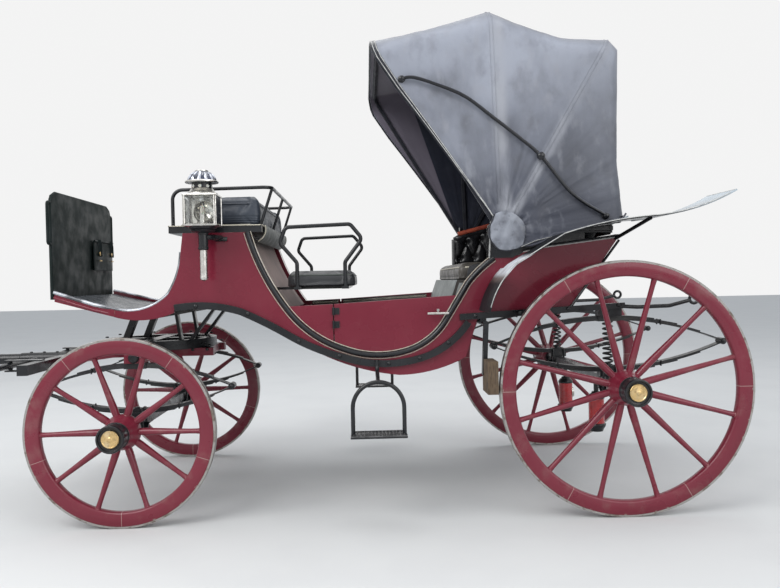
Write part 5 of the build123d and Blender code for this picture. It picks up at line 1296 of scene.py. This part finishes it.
def hood_at(turn, j, inset, slack):
    """A point of the hood on the ray at that angle: j runs from the left skirt up the side, round the
    corner, over the roof and down to the right skirt."""
    way = -1 if j <= WHOLE_STEPS / 2 else 1
    j = min(j, WHOLE_STEPS - j)
    r, y, reach = hood_station(turn, j, inset)
    half = HOOD_HALF - inset
    hollow, panel = bow_share(turn)
    spread = min(1, r / 0.9)
    on_top = min(1, max(0, (j - SIDE_STEPS - CORNER_STEPS * 0.4) / (CORNER_STEPS * 0.6)))
    sag = (0.012, 0.01, 0.006)[panel] * hollow * slack
    pull = (0.011, 0.012, 0.008)[panel] * hollow * slack * sin(min(1, r / reach) * pi) ** 0.8 * spread
    seed = Vector((turn * 0.045, r * 1.6, 7 * way + y * 0.4))
    crease = noise.noise(Vector((turn * 0.3, r * 1.1, way * 3))) * 0.0032 + noise.noise(seed * 2) * 0.0045
    fine = noise.noise(Vector((turn * 0.9, r * 3.4, way * 9))) * 0.0014
    ruffle = (crease + fine - 0.003) * (0.35 + 0.65 * hollow) * slack * min(1, r / 0.12)
    # Folds draw together above the flap, where the leather is nailed to the hinge
    px, pz = cos(radians(turn)) * r - 0.04, sin(radians(turn)) * r - 0.1
    gather = exp(-(hypot(px, pz) / 0.15) ** 2) * min(1, hypot(px, pz) / 0.03)
    ruffle += 0.0036 * slack * gather * (sin(atan2(pz, px) * 8 + 3 * noise.noise(seed * 3)) - 0.6)
    seam = 0
    for at in SEAM_TURNS:
        seam += 0.0016 * exp(-(radians(turn - at) * r / 0.009) ** 2)
    r += on_top * (ruffle - sag) + seam * on_top * slack
    y += (1 - on_top) * ((ruffle if ruffle < 0.003 else 0.003) - pull + seam * slack)
    c, s = cos(radians(turn)), sin(radians(turn))
    droop = 0.01 * on_top * slack * (1 - (min(y, half) / half) ** 2) * hollow
    return Vector((HINGE_X + c * (r - droop), way * y, HINGE_Z + s * (r - droop)))


def hood_point(share, j, inset, slack):
    """The same by the share of the way from the hood's front edge to its rear edge."""
    turn = 122.6 + share * (5.4 - 122.6)
    for _ in range(4):
        r = hood_station(turn, min(j, WHOLE_STEPS - j), inset)[0]
        front, rear = along_table(FRONT_EDGE, r), along_table(REAR_EDGE, r)
        turn = front + share * (rear - front)
    return hood_at(turn, j, inset, slack)


def hood_sheet(mesh, inset, slack, steps, share_low=0, share_high=1):
    """The whole curved sheet, as a grid."""
    grid = [[mesh.verts.new(hood_point(share_low + (share_high - share_low) * i / steps, j, inset, slack))
             for j in range(WHOLE_STEPS + 1)] for i in range(steps + 1)]
    skin(mesh, grid, closed=False)
    return grid


hide = Finish("hood_leather", (0.052, 0.057, 0.078), 0.46, coat=(0.12, 0.4))
place = hide.axes()
# Painted sky reflection: the hide turns pale blue grey towards the top of the hood, in clouds.
painted_sky_light = hide.sum("ADD", hide.share(place[2], 1.2, 2.15, 0, 1), hide.times(hide.noise(2.4, 6), 1.1))
hide.tint(hide.share(painted_sky_light, 0.5, 1.6, 0, 1), (0.31, 0.33, 0.385))
hide.mottle((0.07, 0.073, 0.086), 4.6, 6, 0.42, 0.74, 0.52, stretch=(1, 1, 0.6))
hide.mottle((0.075, 0.076, 0.086), 13, 8, 0.48, 0.74, 0.34, stretch=(1, 1, 0.7))
hide.mottle((0.28, 0.288, 0.32), 22, 8, 0.52, 0.76, 0.42, stretch=(1, 1, 0.5))
for at in SEAM_TURNS:
    # Each seam is worn pale over its bow: how far a point is from the bow's line
    c, s = cos(radians(at)), sin(radians(at))
    off = hide.sum("ADD", hide.times(place[0], s), hide.times(place[2], -c))
    middle_off = HINGE_X * s - HINGE_Z * c + (0.022 if at > 90 else 0.01)
    off = hide.sum("ABSOLUTE", hide.sum("SUBTRACT", off, middle_off))
    worn = hide.times(hide.share(off, 0.05 if at > 90 else 0.034, 0.008),
                      hide.share(hide.noise(9, 5, (1, 1, 0.4)), 0.32, 0.66, 0.15, 0.75))
    hide.tint(hide.times(worn, hide.share(place[2], 1.29, 1.34)), (0.34, 0.35, 0.385))
# Painted shade: the rear of the hood is pulled towards dark grey, more so low down.
hide.tint(hide.times(hide.share(place[0], REAR_X - 0.38, REAR_X - 0.02),
                     hide.share(place[2], 2.16, 1.86, 0.05, 0.34)), (0.085, 0.088, 0.102))
facing_up = hide.upward()
hide.tint(hide.share(facing_up, 0.35, 0.85, 0, 0.62), (0.098, 0.104, 0.122))
hide.rough(6, 5, 0.36, 0.6).pebbled(330, 0.0003).grain(16, 5, 0.0016).grain(60, 5, 0.0005)
mesh = bmesh.new()
hood_grid = hood_sheet(mesh, 0, 1, FAN_STEPS)
back_row = [v.co.copy() for v in hood_grid[-1]]
hood = piece(mesh, "hood_leather_sheet", [hide], ["hood_cover"], crease=80)
settled(hood, "SOLIDIFY", thickness=0.0045, offset=-1)

# Hood lining: dark navy cloth on the inside of the leather, with a facing of mauve grey along the
# front edge that the sun has faded.
lining_navy = (Finish("hood_lining_cloth", (0.016, 0.019, 0.034), 0.8, Sheen_Weight=0.25)
    .mottle((0.03, 0.034, 0.05), 4, 5, 0.4, 0.7, 0.8))
place = lining_navy.axes()
ahead = lining_navy.sum("ADD", lining_navy.times(place[0], 0.9466), lining_navy.times(place[2], 0.3223))
facing = lining_navy.share(ahead, (REAR_X - 0.57) * 0.9466 + 1.355 * 0.3223,
                           (REAR_X - 0.578) * 0.9466 + 1.355 * 0.3223)
lining_navy.tint(lining_navy.times(facing, 0.9), (0.185, 0.165, 0.205))
lining_navy.rough(14, 4, 0.7, 0.92).grain(800, 2, 0.0003, (1, 1, 0.4))
mesh = bmesh.new()
hood_sheet(mesh, 0.0078, 1, 110, 0.004, 0.997)
lining = piece(mesh, "hood_lining", [lining_navy], crease=80)
settled(lining, "SOLIDIFY", thickness=0.0015, offset=0)

# Hood edges: a black binding with two fine pale welts along the front that are a painted highlight on
# its rim, dark pipings behind and below, two welted seams over the bows, and a leaf of softer leather
# nailed over each hinge.
binding = (Finish("hood_binding", (0.014, 0.016, 0.023), 0.36, Coat_Weight=0.2)
    .mottle((0.034, 0.037, 0.048), 40, 5, 0.45, 0.72, 0.8).rough(30, 4, 0.3, 0.5)
    .grain(300, 3, 0.0001))
mesh = bmesh.new()
inner_row = [hood_point(0.0115, j, -0.0014, 1) for j in range(WHOLE_STEPS + 1)]
outer_row = [hood_point(0, j, -0.0014, 1) for j in range(WHOLE_STEPS + 1)]
under_row = [hood_point(0, j, 0.01, 1) for j in range(WHOLE_STEPS + 1)]
rows = [[mesh.verts.new(p) for p in row] for row in (inner_row, outer_row, under_row)]
skin(mesh, rows, closed=False)
strip_piece = piece(mesh, "hood_front_binding", [binding], crease=80)
settled(strip_piece, "SOLIDIFY", thickness=0.0016, offset=0)
mesh = bmesh.new()
# Painted highlight: two fine pale welts along the front edge of the rim.
for share, radius in ((0.0022, 0.0017), (0.0098, 0.0017)):
    tube(mesh, [hood_point(share, j, -0.0028, 1) for j in range(0, WHOLE_STEPS + 1, 2)], radius, 8)
tube(mesh, [p + Vector((-0.0015, 0, 0)) for p in under_row[::2]], 0.004, 8, kind=1)
HOOD_HEM = [(0.089, -0.0635), (0.155, -0.037), (0.264, -0.013), (0.398, 0.02), (0.533, 0.035), (0.56, 0.0735)]
for side in (-1, 1):
    line = [Vector((HINGE_X + x, side * 0.5866, HINGE_Z + z)) for x, z in HOOD_HEM]
    fine_line = [a.lerp(b, k / 6) for a, b in zip(line, line[1:]) for k in range(6)] + [line[-1]]
    tube(mesh, fine_line, 0.0042, 8, kind=2)
    tube(mesh, [p + Vector((0, side * 0.003, -0.0028)) for p in fine_line[:-5]], 0.0014, 6)
tube(mesh, [p + Vector((0.002, 0, 0.002)) for p in back_row[4:-4:2]], 0.005, 8, kind=2)
piece(mesh, "hood_edge_piping", [white_welt, binding, hide])
mesh = bmesh.new()
for at in SEAM_TURNS:
    for off in (-0.0075, 0.0075):
        line = []
        for j in range(5, WHOLE_STEPS - 4):
            reach = hood_station(at, min(j, WHOLE_STEPS - j), 0)[0]
            line.append(hood_at(at + degrees(off / reach), j, -0.0006, 1))
        tube(mesh, line, 0.0013, 6)
piece(mesh, "hood_seam_stitches", [hide])
flap_leather = (Finish("flap_leather", (0.105, 0.112, 0.135), 0.38, coat=(0.2, 0.25))
    .mottle((0.32, 0.34, 0.385), 12, 7, 0.3, 0.66, 0.8, 0.1)
    .mottle((0.075, 0.08, 0.095), 34, 6, 0.54, 0.74, 0.6).rough(20, 5, 0.32, 0.55)
    .pebbled(380, 0.0002).grain(34, 4, 0.0009))
FLAP_X, FLAP_Z = REAR_X - 0.49, 1.24
LEAF = [  # angle round the leaf's middle, and how far its edge is from there
    (-180, 0.072), (-140, 0.078), (-107, 0.087), (-72, 0.09), (-46, 0.099), (-20, 0.09), (15, 0.09), (50, 0.086),
    (90, 0.089), (120, 0.088), (145, 0.075), (180, 0.072),
]


def leaf_edge(angle):
    """The leaf's reach in one direction, eased between the rows of its table."""
    for (a, low), (b, high) in zip(LEAF, LEAF[1:]):
        if angle <= b:
            f = (angle - a) / (b - a)
            return low + (high - low) * f * f * (3 - 2 * f)
    return LEAF[-1][1]


mesh = bmesh.new()
for side in (-1, 1):
    grids = []
    for face_out in (0.0052, -0.0006):
        grid = []
        for ring in range(1, 15):
            share = ring / 14
            row = []
            for k in range(96):
                angle = -180 + 360 * k / 96
                a = radians(angle)
                reach = leaf_edge(angle) * share
                # The folds spread down and left from where the leaf is nailed
                lx, lz = reach * cos(a) - 0.03, reach * sin(a) - 0.085
                fold = 0.0016 * sin(atan2(lz, lx) * 17 + 2 * share) * min(1, hypot(lx, lz) / 0.12)
                fold += 0.0018 * noise.noise(Vector((cos(a) * share * 3, sin(a) * share * 3, side)))
                rise = face_out + (0.004 * (1 - share ** 5) + fold) * (face_out > 0)
                row.append(mesh.verts.new((FLAP_X + reach * cos(a), side * (HOOD_HALF + rise),
                                           FLAP_Z + reach * sin(a))))
            grid.append(row)
        middle = mesh.verts.new((FLAP_X, side * (HOOD_HALF + face_out + 0.004 * (face_out > 0)), FLAP_Z))
        for k in range(96):
            mesh.faces.new((middle, grid[0][k], grid[0][(k + 1) % 96]))
        skin(mesh, grid)
        grids.append(grid)
    skin(mesh, [grid[-1] for grid in grids])
    rim = []
    for k in range(50):
        angle = -44 - 4 * k
        angle = angle + 360 if angle < -180 else angle
        a = radians(angle)
        reach = leaf_edge(angle) - 0.0016
        rim.append((FLAP_X + reach * cos(a), side * (HOOD_HALF + 0.0062), FLAP_Z + reach * sin(a)))
    tube(mesh, rim, [0.001] + [0.0032] * 48 + [0.001], 8, kind=1)
piece(mesh, "hood_hinge_flaps", [flap_leather, binding], crease=70)

# Hood quarters: a curtain of black leather on each side that closes the gap between the hood's skirt
# and the wing, nailed along the body and edged in front with a pale piping.
quarter_leather = (Finish("quarter_leather", (0.0095, 0.01, 0.0125), 0.34, coat=(0.3, 0.18))
    .mottle((0.024, 0.025, 0.03), 8, 5, 0.45, 0.72, 0.7).rough(20, 4, 0.24, 0.48)
    .pebbled(400, 0.0002).grain(18, 4, 0.001))
QUARTER_TOP = [(-0.548, 1.345), (-0.45, 1.3), (-0.3, 1.28), (-0.1, 1.29), (0.046, 1.3)]
mesh = bmesh.new()
for side in (-1, 1):
    rows = []
    for i in range(46):
        x = -0.548 + 0.594 * i / 45
        foot = max([1.125] + [z + 0.0035
                              for (ax, az), (x2, z) in zip(wing_path, wing_path[1:]) if ax <= REAR_X + x <= x2])
        head = along_table(QUARTER_TOP, x)
        row = []
        for k in range(17):
            share = k / 16
            ripple = 0.0016 * noise.noise(Vector((x * 9, share * 2, side))) * sin(share * pi)
            row.append(mesh.verts.new((REAR_X + x + 0.004 * share * (i == 0),
                                       side * (0.513 + 0.06 * share ** 1.2 + ripple), foot + (head - foot) * share)))
        rows.append(row)
    skin(mesh, rows, closed=False)
    tube(mesh, [v.co + Vector((-0.002, side * 0.0015, 0)) for v in rows[0]], 0.0032, 8, kind=1)
quarters = piece(mesh, "hood_quarter_leathers", [quarter_leather, white_welt], crease=70)
settled(quarters, "SOLIDIFY", thickness=0.0022, offset=0)

# Hood frame: steam bent bows covered with black cloth on a pair of hub plates inside, and a jointed
# black iron outside that holds the hood open, with a turned knuckle in its middle.
bow_cloth = (Finish("covered_bow", (0.0125, 0.0135, 0.02), 0.6, Sheen_Weight=0.1)
    .mottle((0.026, 0.028, 0.038), 30, 6, 0.4, 0.7, 0.8).rough(20, 4, 0.5, 0.72)
    .grain(600, 2, 0.0003, (1, 0.4, 1)))
mesh = bmesh.new()
for at in (121.4, *SEAM_TURNS):
    c, s = cos(radians(at)), sin(radians(at))
    ahead = Vector((-s, 0, c)) * 0.01
    rows = []
    for j in range(WHOLE_STEPS + 1):
        outer, inner = hood_at(at, j, 0.0105, 0), hood_at(at, j, 0.028, 0)
        rows.append([mesh.verts.new(p) for p in (outer + ahead, outer - ahead, inner - ahead * 0.8,
                                                 inner + ahead * 0.8)])
    skin(mesh, rows, caps=True)
for side in (-1, 1):
    turned(mesh, [(AXIS, 0), (0.05, 0), (0.053, -0.003), (0.053, -0.02), (0.05, -0.023), (AXIS, -0.023)],
           (HINGE_X, side * 0.5765, HINGE_Z), (0, side, 0), 40)
piece(mesh, "hood_bow_hoops", [bow_cloth], ["hood_bows"], crease=50)
iron_path = [(-0.935, 1.913), (-0.882, 1.917), (-0.77, 1.881), (-0.653, 1.828), (-0.537, 1.739), (-0.42, 1.647),
             (-0.329, 1.567), (-0.191, 1.399), (-0.042, 1.3)]
mesh = bmesh.new()
for side in (-1, 1):
    line = []
    for i in range(len(iron_path) - 1):
        a, b, c, d = (Vector(iron_path[min(max(k, 0), len(iron_path) - 1)]) for k in (i - 1, i, i + 1, i + 2))
        for k in range(8):
            t = k / 8
            x, z = 0.5 * (2 * b + (c - a) * t + (2 * a - 5 * b + 4 * c - d) * t ** 2 + (3 * b - a - 3 * c + d) * t ** 3)
            line.append((REAR_X + x, side * 0.599, z))
    line.append((REAR_X + iron_path[-1][0], side * 0.599, iron_path[-1][1]))
    tube(mesh, line, 0.008, 12)
    turned(mesh, [(AXIS, 0.0165), (0.007, 0.016), (0.0105, 0.0135), (0.016, 0.0115), (0.0175, 0.008),
                  (0.0175, -0.006), (0.015, -0.0095), (AXIS, -0.0095)], (REAR_X - 0.329, side * 0.599, 1.567),
                  (0, side, 0), 24)
    for x, z in ((REAR_X - 0.935, 1.913), (REAR_X - 0.042, 1.3)):
        turned(mesh, [(AXIS, 0.0225), (0.008, 0.022), (0.0125, 0.0185), (0.013, 0.01), (0.013, 0.004),
                      (0.0165, 0.0025), (0.0165, 0)], (x, side * 0.5855, z), (0, side, 0), 20)
iron_paint = Finish("hood_iron_paint", (0.0085, 0.0095, 0.0125), 0.24, coat=(0.3, 0.08))
# Painted highlight: blue grey where the bars face upwards, in clouds.
upward = iron_paint.upward()
painted_top_highlight = iron_paint.times(iron_paint.share(upward, 0.35, 0.85),
                          iron_paint.share(iron_paint.noise(9, 5), 0.3, 0.62, 0.25, 0.9))
iron_paint.tint(painted_top_highlight, (0.165, 0.18, 0.235))
iron_paint.rough(16, 5, 0.18, 0.4).grain(120, 3, 0.00008)
piece(mesh, "hood_iron_bars", [iron_paint], ["hood_irons"])

# Steps: a forged hoop on a bent stem each side, with a flat tread plate worn bright and ribbed so
# that a boot holds.
bare(enamel, "steps")
tread_iron = (Finish("worn_tread_iron", (0.11, 0.11, 0.112), 0.45, Metallic=0.6)
    .mottle((0.03, 0.03, 0.031), 30, 5, 0.45, 0.7, 0.9).rough(40, 4, 0.32, 0.6)
    .grain(150, 4, 0.0002))
STEP_X, STEP_Y, TREAD_Z = 0.966655, 0.745, 0.3905
mesh = bmesh.new()
for side in (-1, 1):
    for k in range(15):
        x = STEP_X - 0.105 + 0.015 * k
        tube(mesh, [(x, side * STEP_Y - 0.056, TREAD_Z), (x, side * STEP_Y + 0.056, TREAD_Z)], 0.0026, 6)
    for y in (-0.0585, 0.0585):
        tube(mesh, [(STEP_X - 0.116, side * STEP_Y + y, TREAD_Z), (STEP_X + 0.116, side * STEP_Y + y, TREAD_Z)],
             0.003, 6)
piece(mesh, "step_tread_ribs", [tread_iron])

# Tail lamps: red enamelled tins on the rear axle, each with a black cap, a ruby lens in a nickel
# ring that looks to the rear, and a cone below.
red_tin = (Finish("red_lamp_tin", (0.42, 0.018, 0.022), 0.25, Coat_Weight=0.6)
    .mottle((0.26, 0.014, 0.018), 14, 5, 0.45, 0.72, 0.7).rough(30, 4, 0.18, 0.4)
    .grain(120, 3, 0.00008))
ruby = (Finish("ruby_lens", (0.85, 0.03, 0.03), 0.06, Transmission_Weight=0.55, Coat_Weight=0.6)
    .mottle((0.55, 0.015, 0.02), 40, 3, 0.4, 0.7, 0.6).rough(30, 3, 0.04, 0.12).pebbled(220, 0.0008))
mesh = bmesh.new()
TAIL_X, TAIL_Y = REAR_X - 0.002, 0.28
for side in (-1, 1):
    place = (TAIL_X, side * TAIL_Y, 0)
    turned(mesh, [(AXIS, 0.5275), (0.0118, 0.5275), (0.0118, 0.475), (0.02, 0.474), (0.023, 0.47), (0.023, 0.466),
                  (0.03, 0.462), (0.0385, 0.452), (0.04, 0.446), (0.0385, 0.44)], place, UP, 36, kind=1)
    turned(mesh, [(0.0385, 0.44), (0.037, 0.438), (0.037, 0.33), (0.0385, 0.328), (0.0385, 0.322)], place, UP, 36)
    turned(mesh, [(0.0385, 0.322), (0.044, 0.319), (0.0455, 0.315), (0.043, 0.308), (0.035, 0.294), (0.03, 0.282),
                  (AXIS, 0.281)], place, UP, 36, kind=1)
    lens = (TAIL_X + 0.034, side * TAIL_Y, 0.388)
    turned(mesh, [(0.0265, -0.004), (0.0265, 0.006), (0.0245, 0.0085), (0.0215, 0.0085), (0.0205, 0.006)], lens,
           (1, 0, 0), 32, kind=2)
    turned(mesh, [(0.0208, 0.0055), (0.016, 0.0092), (0.008, 0.0112), (AXIS, 0.0118)], lens, (1, 0, 0), 32, kind=3)
piece(mesh, "tail_lamp_tins", [red_tin, enamel, nickel, ruby], ["tail_lamps"], crease=34)

# Brake: an iron shaft across the body, black, with an arm each side that carries a poplar block,
# which presses on the tyre.
bare(enamel, "brake_gear")
block_wood = (Finish("brake_block_wood", (0.12, 0.085, 0.055), 0.8)
    .mottle((0.055, 0.038, 0.026), 30, 6, 0.4, 0.7, 0.8, stretch=(6, 1, 1)).rough(25, 4, 0.68, 0.92)
    .grain(100, 5, 0.0006, (5, 1, 1)))
nodes["brake_gear"].data.materials.append(block_wood.material)
for face in nodes["brake_gear"].data.polygons:
    p = face.center
    if p.x < REAR_X - 0.5555 and p.x > REAR_X - 0.6015 and 0.539 < p.z < 0.681 and abs(p.y) > 0.584:
        face.material_index = 1

# Inside the body: a dark carpet on the floor between the seats, and black lined panels along the low
# sides and doors, edged on top with a wavy braid. The door panels swing with their doors.
carpet = (Finish("floor_carpet", (0.03, 0.018, 0.018), 0.95, Sheen_Weight=0.4)
    .mottle((0.055, 0.03, 0.028), 60, 4, 0.4, 0.65, 0.8).rough(30, 3, 0.85, 0.98)
    .grain(700, 2, 0.0016))
floor_line = arcs([(0.6218, 0.79), (0.6722, 0.753), (0.8532, 0.6725), (1.0692, 0.6265), (1.2238, 0.6445)], 16)
mesh = bmesh.new()
rows = []
for i, (x, z) in enumerate(floor_line):
    row = [mesh.verts.new((x, -0.47 + 0.94 * k / 40, z + 0.0105 + 0.0012 * noise.noise(Vector((x * 30, k * 0.9, 0)))))
           for k in range(41)]
    rows.append(row + [mesh.verts.new((x, 0.474, z + 0.002)), mesh.verts.new((x, -0.474, z + 0.002))])
skin(mesh, rows, caps=True)
floor_cloth = piece(mesh, "footwell_carpet", [carpet], crease=60)
side_leather = (Finish("side_lining_leather", (0.014, 0.0145, 0.016), 0.42, Coat_Weight=0.2)
    .mottle((0.036, 0.036, 0.038), 10, 5, 0.45, 0.7, 0.8).rough(24, 4, 0.32, 0.56)
    .pebbled(420, 0.0002))


def panel_low(x):
    """The height of the bead's upper side at x, where the lining ends."""
    for (ax, az), (bx, bz) in zip(bead_path, bead_path[1:]):
        if ax <= x <= bx:
            return az + (bz - az) * (x - ax) / (bx - ax) + 0.026
    return 2


def lined(name, body, x_low, x_high, top_low, top_high, side):
    """A thin padded lining inside a low side, with a wavy braid along its top."""
    mesh = bmesh.new()
    face_y = side * 0.4898
    columns = 40
    grid = []
    for i in range(columns + 1):
        x = x_low + (x_high - x_low) * i / columns
        high = top_low + (top_high - top_low) * i / columns - 0.004
        low = min(high - 0.012, panel_low(x))
        column = []
        for j in range(13):
            z = low + (high - low) * j / 12
            rim = min(x - x_low, x_high - x, z - low, high - z)
            column.append(mesh.verts.new((x, face_y - side * 0.0042 * sqrt(min(1, max(0, rim) / 0.012)), z)))
        column += [mesh.verts.new((x, face_y + side * 0.0002, high)),
                   mesh.verts.new((x, face_y + side * 0.0002, low))]
        grid.append(column)
    skin(mesh, grid, caps=True)
    for shift in (0, pi):
        braid = []
        for k in range(int((x_high - x_low) / 0.0035)):
            x = x_low + 0.004 + 0.0035 * k
            high = top_low + (top_high - top_low) * (x - x_low) / (x_high - x_low)
            if high - 0.02 > panel_low(x):
                braid.append((x, face_y - side * 0.0052, high - 0.016 + 0.0045 * sin(k * 0.7 + shift)))
        if len(braid) > 3:
            tube(mesh, braid, 0.0015, 6, kind=1)
    piece(mesh, name, [side_leather, cream], crease=60, body=body)


for side_name, side in SIDES:
    lined("low_side_lining_" + side_name, "carriage", FRONT_X + 0.745, hinge_x - 0.014, 0.9265, 0.9315, side)
    lined("door_lining_" + side_name, f"door_{side_name}_body", hinge_x + 0.012, hinge_x + 0.5, 0.9325, 0.9565, side)

# Body trims: a white leather welt nailed along the rear panel's black edge board, and the black
# wooden strips above and below it.
mesh = bmesh.new()
for side in (-1, 1):
    for y, radius, kind, line in (
            (0.5115, 0.003, 0, [(-0.44, 1.143), (-0.28, 1.172), (-0.12, 1.19), (0.046, 1.2105)]),
            (0.513, 0.0058, 1, [(-0.186, 0.893), (-0.06, 1.0615), (0.042, 1.1955)]),
            (0.5125, 0.0052, 1, [(-0.45, 1.149), (-0.28, 1.1785), (-0.12, 1.1975), (0.047, 1.218)])):
        tube(mesh, [(REAR_X + x, side * y, z) for x, z in line], radius, 8, kind=kind)
piece(mesh, "rear_panel_trims", [white_welt, enamel])

# Stage: a plain pale floor and soft studio lamps, seen from the left side at the height of the
# small folding seat.
camera = bpy.data.cameras.new("camera")
camera.lens = 34.615
camera.sensor_width = 36
view_point = placed("camera", camera)
view_point.location = (0.92393, -3.88185, 1.03416)
view_point.rotation_euler = [radians(angle) for angle in (88.9453, 1.1675, -1.8541)]
scene.camera = view_point
scene.view_settings.view_transform = "Standard"

world = bpy.data.worlds.new("studio")
scene.world = world
world.use_nodes = True
sky = world.node_tree
sky.nodes.clear()
height = shader_node(sky, "SeparateXYZ", {0: shader_node(sky, "TexCoord", {}).outputs["Generated"]}).outputs[2]
fade = shader_node(sky, "MapRange", {"Value": height, "From Min": -0.15, "From Max": 0.55}).outputs[0]
shade = shader_node(sky, "Mix", {0: fade, 6: (0.42, 0.41, 0.4, 1), 7: (0.86, 0.92, 1, 1)}, data_type="RGBA")
surround = shader_node(sky, "Background", {"Color": shade.outputs[2], "Strength": 0.75})
backdrop = shader_node(sky, "Background", {"Color": (0.9, 0.9, 0.9, 1)})
rays = shader_node(sky, "LightPath", {}).outputs
straight = shader_node(sky, "Math", {0: rays["Is Camera Ray"], 1: rays["Is Glossy Ray"]}, operation="MAXIMUM")
seen = shader_node(sky, "Math", {0: straight.outputs[0], 1: rays["Is Transmission Ray"]}, operation="MAXIMUM")
shown = shader_node(sky, "MixShader", {0: seen.outputs[0], 1: surround.outputs[0], 2: backdrop.outputs[0]})
shader_node(sky, "OutputWorld", {0: shown.outputs[0]})

mesh = bmesh.new()
bmesh.ops.create_grid(mesh, x_segments=4, y_segments=4, size=30)
floor = formed(mesh, "floor")
floor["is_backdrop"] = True
stone = (Finish("floor_paint", (0.62, 0.62, 0.61), 0.9)
    .mottle((0.58, 0.58, 0.575), 2, 5, 0.4, 0.7, 0.5))
floor.data.materials.append(stone.material)

LAMPS = [  # name, place, aim, power, size
    ("key", (-3.5, -5, 6), (0, 0, 0.8), 420, 5),
    ("fill", (5.5, -5.5, 4), (0, 0, 0.8), 170, 5),
    ("top", (0.5, 1, 7), (0, 0, 0.8), 220, 6),
]
for name, place, aim, power, size in LAMPS:
    light = bpy.data.lights.new(name, "AREA")
    light.energy = power
    light.size = size
    holder = placed(name, light)
    holder.location = place
    holder.rotation_euler = (Vector(aim) - Vector(place)).to_track_quat("-Z", "Y").to_euler()

low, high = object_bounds()
